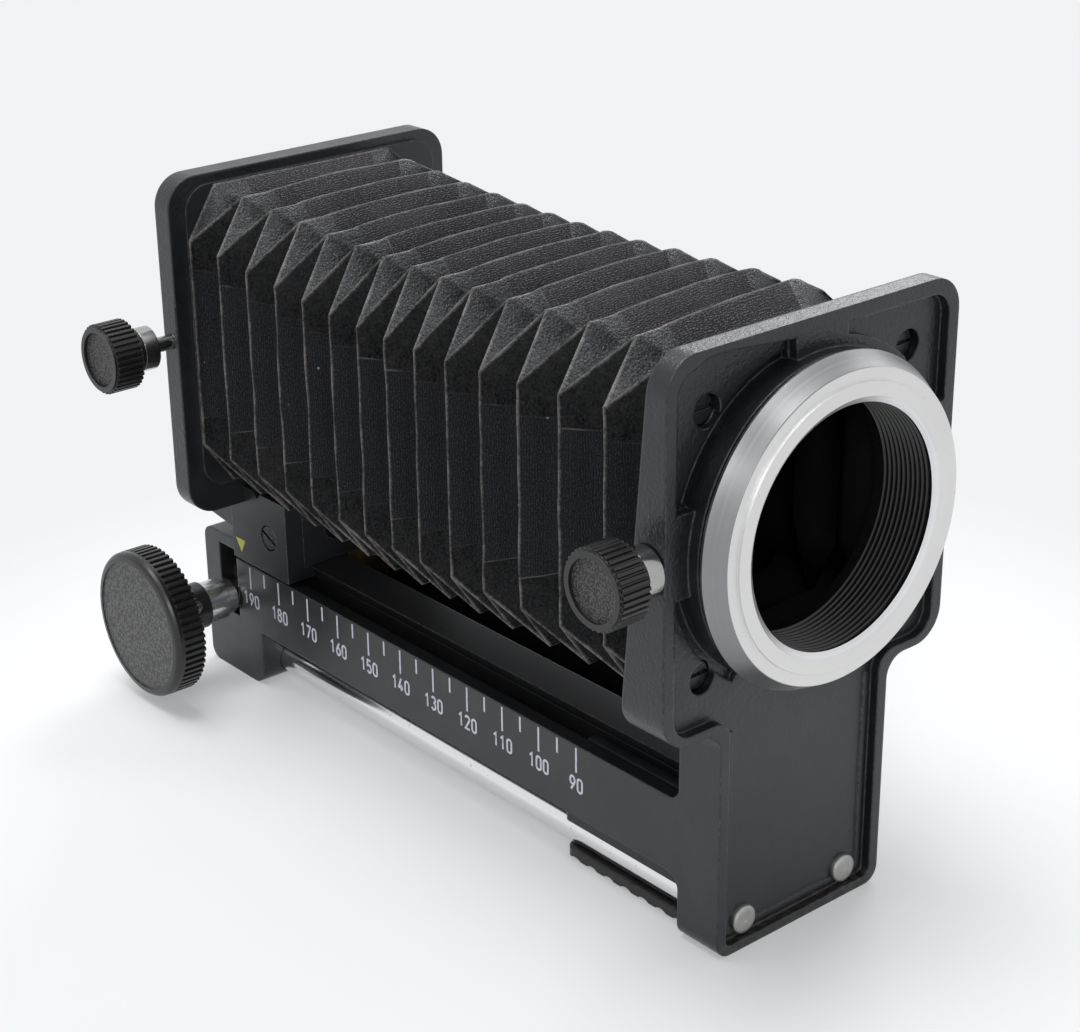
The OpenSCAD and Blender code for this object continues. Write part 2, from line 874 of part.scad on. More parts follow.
module drive_nut() color(BRASS) {
    high = rail_top + slide_gap - 0.02;
    difference() {
        union() {
            block([-4.9, nut_y, shaft_z + nut_r], [4.9, nut_y + nut_len, high]);
            rod_along_y(nut_r, nut_y, nut_y + nut_len, 0, shaft_z);
            block([-nut_r, nut_y, shaft_z], [nut_r, nut_y + nut_len, shaft_z + nut_r + 1]);
        }
        rod_along_y(screw_r + run, nut_y - 1, nut_y + nut_len + 1, 0, shaft_z);
        for (y = nut_stud_y)
            translate([0, y, high - 7]) cylinder(r = 1 + fit, h = 8);
    }
}

// Studs that pull the nut up against the carriage
module nut_screws() color(STEEL) {
    for (y = nut_stud_y)
        translate([0, y, rail_top - 5]) cylinder(r = 1, h = 9.5);
}

module lead_screw() color(STEEL) {
    thread_y0 = leg_y + 4.6;
    thread_y1 = bearing_y - 0.3;
    pitch = screw_lead / 4;            // the thread has four starts
    count = floor((thread_y1 - thread_y0) / pitch);
    root = screw_r - 0.45;
    translate([0, 0, shaft_z]) {
        rod_along_y(journal_r, leg_y + 0.4, thread_y0 + eps);
        rod_along_y(journal_r, thread_y1 - eps, shaft_y - 2.6);
        turned_y()
            polygon(concat(
                [[0, thread_y0]],
                [for (i = [0 : count - 1])
                    for (p = [[0, root], [0.28, root], [0.45, screw_r], [0.75, screw_r]])
                        [p[1], thread_y0 + (i + p[0]) * pitch]],
                [[root, thread_y0 + count * pitch], [root, thread_y1], [0, thread_y1]]
            ));
    }
}

// Bevel gear with its cone's point at the origin, its back toward -Z and a tooth at angle start
module bevel_gear(bore_r, start) {
    tip = pitch_r + 0.4;
    near = 1.9;
    flank = 15 * pitch_r / gear_teeth / 45;   // half thickness of a tooth, at 7 mm from the point
    difference() {
        union() {
            // Cone body below the teeth
            translate([0, 0, -pitch_r])
                cylinder(r1 = pitch_r - 0.75, r2 = near - 0.55, h = pitch_r - near);
            translate([0, 0, -pitch_r - 2]) cylinder(r = pitch_r - 0.75, h = 2 + eps);
            // Straight teeth on the cone
            intersection() {
                translate([0, 0, -pitch_r])
                    cylinder(r1 = tip, r2 = tip * near / pitch_r, h = pitch_r - near);
                for (i = [0 : gear_teeth - 1])
                    rotate([0, 0, start + i * 360 / gear_teeth])
                        rotate([0, 45, 0])
                            linear_extrude(4, center = true)
                                polygon([[0, 0], [7, -flank], [7, flank]]);
            }
        }
        translate([0, 0, -20]) cylinder(r = bore_r, h = 30);
    }
}

module screw_gear() color(BRASS) {
    translate([0, shaft_y, shaft_z])
        rotate([-90, 0, 0]) bevel_gear(journal_r + 0.01, 180);
}

module shaft_gear() color(BRASS) {
    translate([0, shaft_y, shaft_z])
        rotate([0, 90, 0]) bevel_gear(journal_r + 0.01, 270 + 180 / gear_teeth);
}

module drive_shaft() color(STEEL) {
    sleeve = -27;
    shoulder = -22.4;
    rod_along_x(journal_r, -33.5, sleeve + eps, shaft_y, shaft_z);
    rod_along_x(4.3, sleeve, shoulder + eps, shaft_y, shaft_z);
    rod_along_x(3.6, shoulder, -20, shaft_y, shaft_z);
    rod_along_x(shaft_r, -20 - eps, -8, shaft_y, shaft_z);
    rod_along_x(journal_r, -8 - eps, -2.2, shaft_y, shaft_z);
}

module drive_knob() color(BLACK) {
    rim = 6.6;
    band = 1.9;
    face_r = drive_knob_r - 1.8;           // grained disc of the face
    hub_end = -27.02;
    difference() {
        union() {
            along_x(-drive_face + band - eps, -drive_face + rim)
                translate([shaft_y, shaft_z]) knurl_outline(drive_knob_r, 0.55, 64);
            // Smooth front band with a round edge
            translate([-drive_face, shaft_y, shaft_z])
                rotate([0, 90, 0])
                    rotate_extrude($fn = 96)
                        polygon([
                            [0, 0], [face_r, 0], [face_r + 0.9, 0.12], [face_r + 1.45, 0.45],
                            [drive_knob_r - 0.05, 1], [drive_knob_r - 0.05, band], [0, band]
                        ]);
            rod_along_x(4.8, -drive_face + rim - eps, hub_end, shaft_y, shaft_z);
        }
        rod_along_x(face_r, -drive_face - 1, -drive_face + 0.25, shaft_y, shaft_z);
        rod_along_x(knob_bore_r, -33.6, 0, shaft_y, shaft_z);
        translate([grub_x, shaft_y, shaft_z])
            rotate([grub_turn, 0, 0]) translate([0, 0, 1.9]) cylinder(r = 1.25 + fit, h = 6);
    }
}

// Headless screw that pins the knob's hub to the shaft
module knob_grub_screw() color(STEEL) {
    translate([grub_x, shaft_y, shaft_z])
        rotate([grub_turn, 0, 0])
            difference() {
                translate([0, 0, 2.05]) cylinder(r = 1.25, h = 2.5);
                block([-2, -0.25, 4], [2, 0.25, 6]);
            }
}

// ---- lock screws ----

// Knurled head with a dished face; its face is at x = 0 and its neck toward +X
module lock_knob() {
    difference() {
        union() {
            along_x(0.5, lock_rim) knurl_outline(lock_knob_r, 0.45, 36);
            rod_along_x(lock_knob_r - 0.5, 0, 1, 0, 0);
            rod_along_x(4.1, lock_rim - eps, lock_rim + lock_neck, 0, 0);
        }
        rod_along_x(5.2, -1, 0.7, 0, 0);
        rod_along_x(knob_bore_r, 3, 20, 0, 0);
    }
}

// Bright collar and the stud that clamps the ring
module lock_stem() {
    shoulder = lock_rim + lock_neck + 0.02;
    rod_along_x(2, 3.1, shoulder + eps, 0, 0);
    rod_along_x(4.2, shoulder, shoulder + lock_collar, 0, 0);
    rod_along_x(stud_r, shoulder + lock_collar - eps, shoulder + lock_collar + stud_len - 1, 0, 0);
    // Turned-down tip, which runs in the ring's groove
    rod_along_x(0.95, shoulder + lock_collar, shoulder + lock_collar + stud_len, 0, 0);
}

module front_lock_knob() color(BLACK) translate([-lock_face, lock_y, lock_z]) lock_knob();

module front_lock_stem() color(STEEL) translate([-lock_face, lock_y, lock_z]) lock_stem();

module rear_lock_knob() color(BLACK)
    translate([-lock_face - rear_lock_out, rear_lock_y, rear_lock_z]) lock_knob();

module rear_lock_stem() color(STEEL)
    translate([-lock_face - rear_lock_out, rear_lock_y, rear_lock_z]) lock_stem();

// ---- tripod foot ----

// Children at the two screws that clamp the foot, on its sole
module at_foot_screws() {
    for (side = [-1, 1])
        translate([0, foot_mid + side * 11.5, foot_low]) children();
}

// Plan of the foot with round ends
module foot_plan(half, r) {
    round_rect([-half, foot_y], [half, foot_y + foot_len], r);
}

module foot_block() color(BLACK) {
    flute = 4.42;
    difference() {
        union() {
            translate([0, 0, foot_low])
                linear_extrude(foot_split - foot_low) foot_plan(foot_half, 2.5);
            block([-7.6, foot_y + 1, foot_split - eps], [7.6, foot_y + foot_len - 1, jaw_low - 0.02]);
        }
        for (x = [-rod_x, rod_x]) rod_along_y(rod_r + run, 0, 160, x, rod_z);
        // Shallow flutes across the sole
        for (y = [foot_y + 1.9 : flute : foot_y + foot_len - 2])
            translate([0, y, foot_low - 1.75])
                rotate([0, 90, 0]) cylinder(r = 2.2, h = 60, center = true);
        translate([0, foot_mid, foot_low - 1]) cylinder(r = 6 + fit, h = 20);
        at_foot_screws() {
            cylinder(r = foot_screw_r + fit, h = 20);
            translate([0, 0, -1]) cylinder(r = 3.8, h = 3.4);
        }
    }
}

module foot_jaw() color(BLACK) {
    difference() {
        translate([0, 0, jaw_low])
            linear_extrude(jaw_top - jaw_low) foot_plan(foot_half - 0.2, 1);
        for (x = [-rod_x, rod_x]) rod_along_y(rod_r + run, 0, 160, x, rod_z);
        at_foot_screws() cylinder(r = foot_screw_r + fit, h = jaw_top - 0.6 - foot_low);
    }
}

module foot_screws() color(STEEL) {
    at_foot_screws()
        translate([0, 0, 0.6])
            difference() {
                union() {
                    cylinder(r = 3.6, h = 1.75);
                    cylinder(r = foot_screw_r, h = jaw_top - foot_low - 1.5);
                }
                block([-4, -0.4, -1], [4, 0.4, 0.8]);
            }
}

module tripod_insert() color(BRASS) {
    translate([0, foot_mid, foot_low])
        difference() {
            translate([0, 0, 0.02]) cylinder(r = 6, h = jaw_low - foot_low - 0.05);
            translate([0, 0, -1]) cylinder(r = tripod_r, h = 12);
        }
}

base_casting();
guide_rails();
rail_screws();
foot_rods();
front_bush();
rear_bush();
shaft_bush();
scale_marks();
lens_ring();
front_frame_screws();
bellows_front_frame();
bellows();
bellows_rear_frame();
rear_frame_screws();
rear_standard();
standard_screws();
camera_ring();
ring_retainer();
carriage_block();
index_cheek();
cheek_screw();
index_mark();
drive_nut();
nut_screws();
lead_screw();
screw_gear();
drive_shaft();
shaft_gear();
drive_knob();
knob_grub_screw();
front_lock_knob();
front_lock_stem();
rear_lock_knob();
rear_lock_stem();
foot_block();
foot_jaw();
foot_screws();
tripod_insert();
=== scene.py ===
import math

import bmesh
import bpy
from mathutils import Matrix, Vector, noise


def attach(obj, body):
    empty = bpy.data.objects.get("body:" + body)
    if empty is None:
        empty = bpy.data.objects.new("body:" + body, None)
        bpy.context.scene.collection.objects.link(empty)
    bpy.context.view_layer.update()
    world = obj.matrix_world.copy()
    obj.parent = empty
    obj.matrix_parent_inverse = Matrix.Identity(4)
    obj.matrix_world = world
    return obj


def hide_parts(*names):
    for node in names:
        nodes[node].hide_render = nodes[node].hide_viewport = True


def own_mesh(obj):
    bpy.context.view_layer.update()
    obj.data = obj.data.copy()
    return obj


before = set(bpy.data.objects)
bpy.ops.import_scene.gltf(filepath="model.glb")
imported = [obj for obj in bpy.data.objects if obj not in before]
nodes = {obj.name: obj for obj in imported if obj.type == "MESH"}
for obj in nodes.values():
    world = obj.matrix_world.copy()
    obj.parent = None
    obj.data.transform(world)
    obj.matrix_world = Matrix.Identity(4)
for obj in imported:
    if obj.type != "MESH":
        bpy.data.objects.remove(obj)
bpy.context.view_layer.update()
scene = bpy.context.scene
MM = 0.001


# ---------------------------------------------------------------- node graphs


class Graph:
    """A node material of one Principled shader, built from small named steps."""

    def __init__(self, name, **sockets):
        self.material = bpy.data.materials.new(name)
        self.material.use_nodes = True
        self.tree = self.material.node_tree
        self.shader = self.tree.nodes["Principled BSDF"]
        self.output = self.tree.nodes["Material Output"]
        for key, value in sockets.items():
            self.shader.inputs[key.replace("_", " ")].default_value = value
        self.coords = self.tree.nodes.new("ShaderNodeTexCoord")
        self.place = self.coords.outputs["Object"]

    def node(self, kind, **inputs):
        made = self.tree.nodes.new("ShaderNode" + kind)
        for key, value in inputs.items():
            socket = made.inputs[int(key[1:])] if key[1:].isdigit() else made.inputs[key]
            if isinstance(value, bpy.types.NodeSocket):
                self.tree.links.new(value, socket)
            else:
                socket.default_value = value
        return made

    def math(self, operation, a, b=0.0, c=0.0):
        made = self.node("Math", _0=a, _1=b, _2=c)
        made.operation = operation
        return made.outputs[0]

    def noise(self, scale, detail=3.0, rough=0.55, where=None, distortion=0.0):
        made = self.node(
            "TexNoise", Vector=where or self.place, Scale=scale, Detail=detail,
            Roughness=rough, Distortion=distortion,
        )
        return made.outputs["Fac"]

    def cells(self, scale, where=None, feature="F1"):
        made = self.node("TexVoronoi", Vector=where or self.place, Scale=scale)
        made.feature = feature
        return made.outputs["Distance"]

    def span(self, value, low, high, to_low=0.0, to_high=1.0):
        made = self.node("MapRange", _0=value, _1=low, _2=high, _3=to_low, _4=to_high)
        made.interpolation_type = "SMOOTHSTEP"
        return made.outputs[0]

    def mix(self, share, a, b):
        made = self.tree.nodes.new("ShaderNodeMix")
        made.data_type = "RGBA"
        for socket, value in ((made.inputs[0], share), (made.inputs[6], a), (made.inputs[7], b)):
            if isinstance(value, bpy.types.NodeSocket):
                self.tree.links.new(value, socket)
            elif isinstance(value, tuple):
                socket.default_value = (*value[:3], 1.0)
            else:
                socket.default_value = value
        return made.outputs[2]

    def parts(self, vector=None):
        return self.node("SeparateXYZ", Vector=vector or self.place).outputs

    def stretched(self, scale, where=None):
        made = self.node("Mapping", Vector=where or self.place, Scale=scale)
        return made.outputs[0]

    def edge_wear(self, radius, low, high):
        """1 on sharp outer edges and 0 elsewhere, broken up by noise."""
        soft = self.node("Bevel", Radius=radius)
        soft.samples = 6
        flat = self.tree.nodes.new("ShaderNodeNewGeometry")
        dot = self.node("VectorMath", _0=soft.outputs[0], _1=flat.outputs["Normal"])
        dot.operation = "DOT_PRODUCT"
        bend = self.math("SUBTRACT", 1.0, dot.outputs["Value"])
        rough = self.span(self.noise(900.0, 4.0, 0.7), 0.4, 0.68)
        return self.math("MULTIPLY", self.span(bend, low, high), rough)

    def faces_up(self, low, high):
        """1 where the surface faces up and 0 on upright faces: it places settled dust, and painted
        light that lightens the upward faces.
        """
        flat = self.tree.nodes.new("ShaderNodeNewGeometry")
        return self.span(self.parts(flat.outputs["Normal"])[2], low, high)

    def bump(self, height, depth, strength=1.0, normal=None):
        made = self.node("Bump", Height=height, Distance=depth, Strength=strength)
        if normal is not None:
            self.tree.links.new(normal, made.inputs["Normal"])
        return made.outputs[0]

    def set(self, **links):
        for key, value in links.items():
            self.tree.links.new(value, self.shader.inputs[key.replace("_", " ")])
        return self.material


COOL = (0.86, 0.93, 1.0, 1.0)       # the blacks of the object shine a little blue


def round_edges(graph, radius):
    soft = graph.node("Bevel", Radius=radius)
    soft.samples = 6
    return soft.outputs[0]


def casting():
    """Black enamel on a cast alloy: orange-peel grain, coarse on the standards, and worn edges."""
    g = Graph("casting_enamel", Specular_IOR_Level=0.55, Specular_Tint=COOL)
    _, y, z = g.parts()
    coarse = g.span(z, -46 * MM, -22 * MM, 0.10, 1.0)
    peel = g.math("MULTIPLY", g.noise(1350.0, 2.0, 0.5, distortion=0.6), coarse)
    fine = g.noise(2300.0, 2.0, 0.6)
    height = g.math("MULTIPLY_ADD", fine, 0.30, peel)
    wear = g.edge_wear(0.5 * MM, 0.03, 0.22)
    dust = g.span(g.noise(55.0, 5.0, 0.65), 0.42, 0.75)
    base = g.mix(dust, (0.0100, 0.0103, 0.0112), (0.0205, 0.0207, 0.0215))
    colour = g.mix(g.math("MULTIPLY", wear, 0.6), base, (0.17, 0.167, 0.16))
    low = g.math("MULTIPLY", g.span(z, -71.2 * MM, -73.0 * MM), g.span(y, 13.0 * MM, 11.5 * MM))
    dirt = g.math("MULTIPLY", low, g.span(g.noise(700.0, 4.0, 0.7), 0.44, 0.62, 0.0, 0.5))
    colour = g.mix(dirt, colour, (0.085, 0.070, 0.050))
    rough = g.math("MULTIPLY_ADD", g.noise(260.0, 4.0), 0.22, 0.22)
    return g.set(
        Base_Color=colour, Roughness=rough,
        Normal=g.bump(height, 0.11 * MM, 0.9, round_edges(g, 0.6 * MM)),
    )


def anodised():
    """Satin black finish of machined parts: faint tool lines and edge wear."""
    g = Graph("satin_black", Specular_IOR_Level=0.5, Specular_Tint=COOL)
    lines = g.noise(60.0, 3.0, 0.6, g.stretched((18.0, 0.6, 18.0)))
    fine = g.noise(2600.0, 2.0)
    wear = g.edge_wear(0.3 * MM, 0.03, 0.22)
    base = g.mix(g.noise(90.0, 4.0, 0.6), (0.008, 0.008, 0.009), (0.02, 0.02, 0.0215))
    colour = g.mix(g.math("MULTIPLY", wear, 0.8), base, (0.24, 0.235, 0.225))
    rough = g.math("MULTIPLY_ADD", lines, 0.2, 0.28)
    height = g.math("MULTIPLY_ADD", fine, 0.5, lines)
    return g.set(
        Base_Color=colour, Roughness=rough,
        Normal=g.bump(height, 0.012 * MM, 0.5, round_edges(g, 0.2 * MM)),
    )


def turned(name, colour, rough, centre, axis, groove):
    """Lathe-turned metal: rings of fine grooves about an axis through centre."""
    g = Graph(name, Metallic=1.0)
    parts = g.parts()
    across = [i for i in range(3) if i != axis]
    offsets = [g.math("SUBTRACT", parts[i], centre[i]) for i in across]
    squares = [g.math("MULTIPLY", o, o) for o in offsets]
    radius = g.math("SQRT", g.math("ADD", *squares))
    rings = g.node("CombineXYZ", X=radius, Y=parts[axis], Z=0.0).outputs[0]
    fine = g.noise(9000.0, 2.0, 0.7, rings)
    broad = g.noise(1500.0, 3.0, 0.6, rings)
    smear = g.noise(70.0, 4.0, 0.6)
    tone = g.math("MULTIPLY_ADD", broad, 0.5, g.math("MULTIPLY", smear, 0.5))
    dark = tuple(c * 0.80 for c in colour)
    shade = g.mix(g.span(tone, 0.3, 0.7), dark, colour)
    scuffs = g.span(g.noise(700.0, 2.0, 0.6, distortion=2.0), 0.66, 0.74)
    shade = g.mix(g.math("MULTIPLY", scuffs, 0.25), shade, tuple(c * 0.6 for c in colour))
    roughness = g.math("MULTIPLY_ADD", broad, 0.16, rough - 0.08)
    height = g.math("MULTIPLY_ADD", fine, 0.7, broad)
    return g.set(
        Base_Color=shade, Roughness=roughness,
        Normal=g.bump(height, groove * MM, 0.6, round_edges(g, 0.12 * MM)),
    )


def steel(name, shade, rough, riveted_to=None, drawn=(30.0, 1.0, 30.0)):
    """Polished plated steel with faint drawn lines and small pits.

    Where y is below riveted_to, in mm, it is the dull grey of a hammered rivet head.
    """
    g = Graph(name, Metallic=1.0)
    lines = g.noise(40.0, 3.0, 0.6, g.stretched(drawn))
    pits = g.span(g.noise(1400.0, 3.0, 0.6), 0.66, 0.74)
    colour = g.mix(pits, shade, tuple(0.4 * c for c in shade))
    roughness = g.math("MULTIPLY_ADD", lines, 0.06, rough)
    if riveted_to is not None:
        head = g.math("LESS_THAN", g.parts()[1], riveted_to * MM)
        mottle = g.mix(g.noise(500.0, 4.0, 0.65), (0.30, 0.298, 0.29), (0.52, 0.515, 0.50))
        colour = g.mix(head, colour, mottle)
        roughness = g.math("ADD", roughness, g.math("MULTIPLY", head, 0.32))
    return g.set(
        Base_Color=colour, Roughness=roughness,
        Normal=g.bump(lines, 0.002 * MM, 0.4, round_edges(g, 0.15 * MM)),
    )


def brass():
    g = Graph("brass_metal", Metallic=1.0)
    tone = g.noise(160.0, 4.0, 0.6)
    shade = g.mix(g.span(tone, 0.35, 0.7), (0.36, 0.23, 0.08), (0.62, 0.44, 0.17))
    rough = g.math("MULTIPLY_ADD", tone, 0.3, 0.18)
    return g.set(
        Base_Color=shade, Roughness=rough,
        Normal=g.bump(g.noise(3000.0), 0.006 * MM, 0.5, round_edges(g, 0.12 * MM)),
    )


def knob_black(name, tone=1.0):
    """Black knob: glossy knurl, smudged in tone, with worn ridges."""
    g = Graph(name, Specular_IOR_Level=0.5)
    wear = g.edge_wear(0.22 * MM, 0.05, 0.35)
    smudge = g.noise(300.0, 4.0, 0.6)
    base = g.mix(smudge, (0.005 * tone, 0.005 * tone, 0.0055 * tone), (0.015 * tone,) * 3)
    colour = g.mix(g.math("MULTIPLY", wear, 0.5), base, (0.15 * tone, 0.147 * tone, 0.138 * tone))
    rough = g.math("MULTIPLY_ADD", smudge, 0.2, 0.2)
    return g.set(
        Base_Color=colour, Roughness=rough,
        Normal=g.bump(g.noise(1800.0), 0.012 * MM, 0.5, round_edges(g, 0.15 * MM)),
    )


def grained_face(name, scale, light, dark, depth):
    """Pebble-grained disc in a knob's face."""
    g = Graph(name, Specular_IOR_Level=0.5)
    pebbles = g.cells(scale)
    ground = g.noise(scale * 1.4, 3.0, 0.6)
    height = g.math("MULTIPLY_ADD", ground, 0.45, g.math("MULTIPLY", pebbles, -1.2))
    worn = g.span(height, -0.65, 0.10)
    colour = g.mix(worn, dark, light)
    rough = g.math("MULTIPLY_ADD", ground, 0.25, 0.38)
    return g.set(Base_Color=colour, Roughness=rough, Normal=g.bump(height, depth * MM, 0.9))


def paint(name, colour, dark):
    """Thin screen-printed ink, slightly uneven where the casting shows through."""
    g = Graph(name, Roughness=0.5)
    patch = g.span(g.noise(1500.0, 4.0, 0.65), 0.30, 0.42)
    shade = g.mix(patch, dark, colour)
    return g.set(Base_Color=shade, Normal=g.bump(g.noise(1500.0), 0.01 * MM, 0.4))


# ------------------------------------------------------------------- bellows
# The skin is folded from eight-sided rings, as the CAD solid is, with the seams of its corner
# patches, a round right corner and slightly uneven folds. UV coordinates are millimetres on the
# unfolded cloth. "from_ridge" and "from_seam" are distances on the cloth, in mm.

FOLDS = 14
FOLD_DEPTH = 6.0
RIDGE_HALF = 29.0
RIDGE_UP, RIDGE_DOWN, SIDE_UP = 30.9, 29.0, 21.1
CORNER_X, CORNER_RIGHT, CORNER_Z = 6.3, 10.5, 9.0
SEAM_X, SEAM_RIGHT, SEAM_Z = 6.9, 4.4, 5.6     # how far a corner patch reaches past its corner
SAG, TOP_SHARE, LOW_SHARE = 4.0, 0.6, 0.5     # sag of the sides, and its share at top and bottom
CENTRE_Z = 0.5
BELLOWS_Y0, BELLOWS_Y1 = 14.2, 141.2
CLOTH_T = 0.45
FOLD_RADIUS = 0.2                   # the cloth bends round its ridges
ACROSS = 2                          # rows between a ridge and the next valley
FOLD_SEED = 7                       # Blender seeds its noise from the clock if none is set


def fold_y(i):
    t = i / FOLDS
    return (
        BELLOWS_Y0 + (BELLOWS_Y1 - BELLOWS_Y0) * t
        + 3.1 * math.sin(math.pi * t) + 2.4 * math.sin(2 * math.pi * t)
    )


def hold(i):
    """0 at the two glued ends of the bellows and 1 from the first ridge on."""
    return max(0.0, min(1.0, i, FOLDS - i))


def ring_points(i, inset):
    """The eight corners and eight seam points of the ring at ridge i, in mm, going round."""
    w = RIDGE_HALF - inset
    drop = SAG * math.sin(math.pi * i / FOLDS)
    top = CENTRE_Z + RIDGE_UP - TOP_SHARE * drop - inset
    low = CENTRE_Z - RIDGE_DOWN - LOW_SHARE * drop + inset
    high, deep = CENTRE_Z + SIDE_UP - drop - inset, low + CORNER_Z
    # A seam runs straight across its fold, so it comes nearer to the corner in a valley
    seam_x, seam_right, seam_z = (max(s - inset, 0.4) for s in (SEAM_X, SEAM_RIGHT, SEAM_Z))
    edge, edge_r = w - CORNER_X, w - CORNER_RIGHT
    reach = edge - seam_x
    ring = [
        (-w, high), (-edge, top), (-reach, top), (edge_r - seam_right, top),
        (edge_r, top - 1.0 * hold(i)), (w, high), (w, high - seam_z), (w, deep + seam_z),
        (w, deep), (edge, low), (reach, low), (-reach, low),
        (-edge, low), (-w, deep), (-w, deep + seam_z), (-w, high - seam_z),
    ]
    # The right ends of the folds lie further back, most of all near the lens
    skew = (0.7 + 3.2 * math.exp(-i / 4)) * hold(i)
    return [(x, fold_y(i) + skew * ease((x + 22) / 44), z) for x, z in ring]


def ease(t):
    t = max(0.0, min(1.0, t))
    return t * t * (3 - 2 * t)


# Each stretch between two points of a ring: its number of parts, and 0 for a corner
STRETCH = [0, 5, 18, 4, 0, 4, 18, 4, 0, 5, 18, 5, 0, 4, 18, 4]
SEAMS = (2, 3, 6, 7, 10, 11, 14, 15)
# Corners: ring point that its crease leaves on the rear ridge, and the one it meets in front
CREASES = {0: (0, 1), 4: (5, 4), 8: (8, 9), 12: (13, 12)}
CLOTH, PATCH = 0, 1


def build_bellows():
    noise.seed_set(FOLD_SEED)
    bm = bmesh.new()
    uv = bm.loops.layers.uv.new("unfolded")
    from_ridge = bm.verts.layers.float.new("from_ridge")
    from_seam = bm.verts.layers.float.new("from_seam")
    ridge_edges, crease_edges, round_edges_right = set(), set(), set()
    made = {}
    flat_of = {}

    flat_y = [0.0]
    for k in range(2 * FOLDS):
        step = fold_y((k + 1) / 2) - fold_y(k / 2)
        flat_y.append(flat_y[-1] + math.hypot(step, FOLD_DEPTH))

    rings = []
    for k in range(2 * FOLDS + 1):
        rings.append(ring_points(k / 2, 0.0 if k % 2 == 0 else FOLD_DEPTH))

    perimeter = [0.0]
    for n in range(16):
        a, b = rings[0][n], rings[0][(n + 1) % 16]
        perimeter.append(perimeter[-1] + math.dist(a, b))

    def on_side(n):
        return 5 <= n <= 8 or n >= 13 or n == 0

    def vertex(k, row, n, part):
        """Vertex of half-fold k, at row/ACROSS of the way to ring k + 1, on stretch n."""
        if row == ACROSS:
            k, row = k + 1, 0
        parts = max(STRETCH[n % 16], 1)
        if part == parts:
            n, part = n + 1, 0
        n %= 16
        key = (k, row, n, part)
        if key in made:
            return made[key]
        share, across = part / parts, row / ACROSS
        ends = []
        for ring in (rings[k], rings[min(k + 1, 2 * FOLDS)]):
            a, b = ring[n], ring[(n + 1) % 16]
            ends.append([a[c] + (b[c] - a[c]) * share for c in range(3)])
        place = [ends[0][c] + (ends[1][c] - ends[0][c]) * across for c in range(3)]
        where = Vector(place) / 9.0 + Vector((k * 0.37, n * 0.11, 0.0))
        step = noise.noise_vector(where)
        held = min(1.0, k / 2, (2 * FOLDS - k) / 2)
        if 2 <= n < 4 and place[2] > 0:
            # The top of each fold arches a little between its corners
            place[2] += 0.7 * held * max(0.0, 1 - (place[0] / 20) ** 2)
            if n == 3:
                place[2] += 1.4 * held * share * (1 - share)
        loose = 0.12
        if row == 0:
            loose = 0.26 if k % 2 else 0.30 if part > 0 else 0.18
        place[1] += loose * held * step[1] * 1.6
        if row == 0:
            out = 0.14 * held * step[0]
            if on_side(n):
                place[0] += math.copysign(out, place[0])
            else:
                place[2] += out
        else:
            # The stiffened panels stand a little proud between their folds
            rise = 0.22 * math.sin(math.pi * across) * held
            front = rings[k][n][1]
            back = rings[min(k + 1, 2 * FOLDS)][n][1]
            slope = math.atan2(FOLD_DEPTH, back - front)
            leaning = 1 if k % 2 == 0 else -1
            place[1] += leaning * rise * math.sin(slope) + 0.1 * step[2]
            lift = rise * math.cos(slope)
            if on_side(n):
                place[0] += math.copysign(lift, place[0])
            else:
                place[2] += math.copysign(lift, place[2])
        v = bm.verts.new([c * MM for c in place])
        made[key] = v
        slant = flat_y[min(k + 1, 2 * FOLDS)] - flat_y[k]
        around = perimeter[n] + (perimeter[n + 1] - perimeter[n]) * share
        flat_of[v] = (around, flat_y[k] + slant * across)
        v[from_ridge] = slant * across if k % 2 == 0 else FOLD_DEPTH * 1.3 * (1 - across)
        v[from_seam] = min(abs(around - perimeter[m]) for m in SEAMS)
        return v

    def face(verts, material):
        try:
            f = bm.faces.new(verts)
        except ValueError:
            return
        f.material_index = material
        f.smooth = True

    def edges_between(verts, group):
        for a, b in zip(verts, verts[1:]):
            e = bm.edges.get((a, b))
            if e is not None:
                group.add(e)

    for k in range(2 * FOLDS):
        for n in range(16):
            parts = STRETCH[n]
            material = CLOTH if parts == 18 else PATCH
            for part in range(parts):
                for row in range(ACROSS):
                    a = vertex(k, row, n, part)
                    b = vertex(k, row + 1, n, part)
                    c = vertex(k, row + 1, n, part + 1)
                    d = vertex(k, row, n, part + 1)
                    face([a, b, c, d], material)

    def side_line(k, n):
        """Vertices along the fold's slope at ring point n, from ring k to ring k + 1."""
        return [vertex(k, row, n, 0) for row in range(ACROSS + 1)]

    for m in range(FOLDS):
        front, valley, rear = 2 * m, 2 * m + 1, 2 * m + 2
        for n, (s, e) in CREASES.items():
            fe, rs = vertex(front, 0, e, 0), vertex(rear, 0, s, 0)
            shapes = [
                side_line(front, s) + [fe], side_line(valley, s) + [fe],
                [rs] + side_line(front, e)[::-1], [rs] + side_line(valley, e)[::-1],
            ]
            for verts in shapes:
                face(verts if e > s or (s, e) == (0, 1) else verts[::-1], PATCH)

    for m in range(FOLDS + 1):
        k = 2 * m
        for n in range(16):
            parts = max(STRETCH[n], 1)
            edges_between([vertex(k, 0, n, p) for p in range(parts + 1)], ridge_edges)
        edges_between([vertex(k, 0, 4, 0), vertex(k, 0, 5, 0)], round_edges_right)
    for m in range(FOLDS):
        for s, e in CREASES.values():
            edges_between([vertex(2 * m + 2, 0, s, 0), vertex(2 * m, 0, e, 0)], crease_edges)
    for f in bm.faces:
        for loop in f.loops:
            around, across = flat_of[loop.vert]
            if around < 1e-6 and any(flat_of[o.vert][0] > perimeter[8] for o in f.loops):
                around = perimeter[16]
            loop[uv].uv = (around, across)

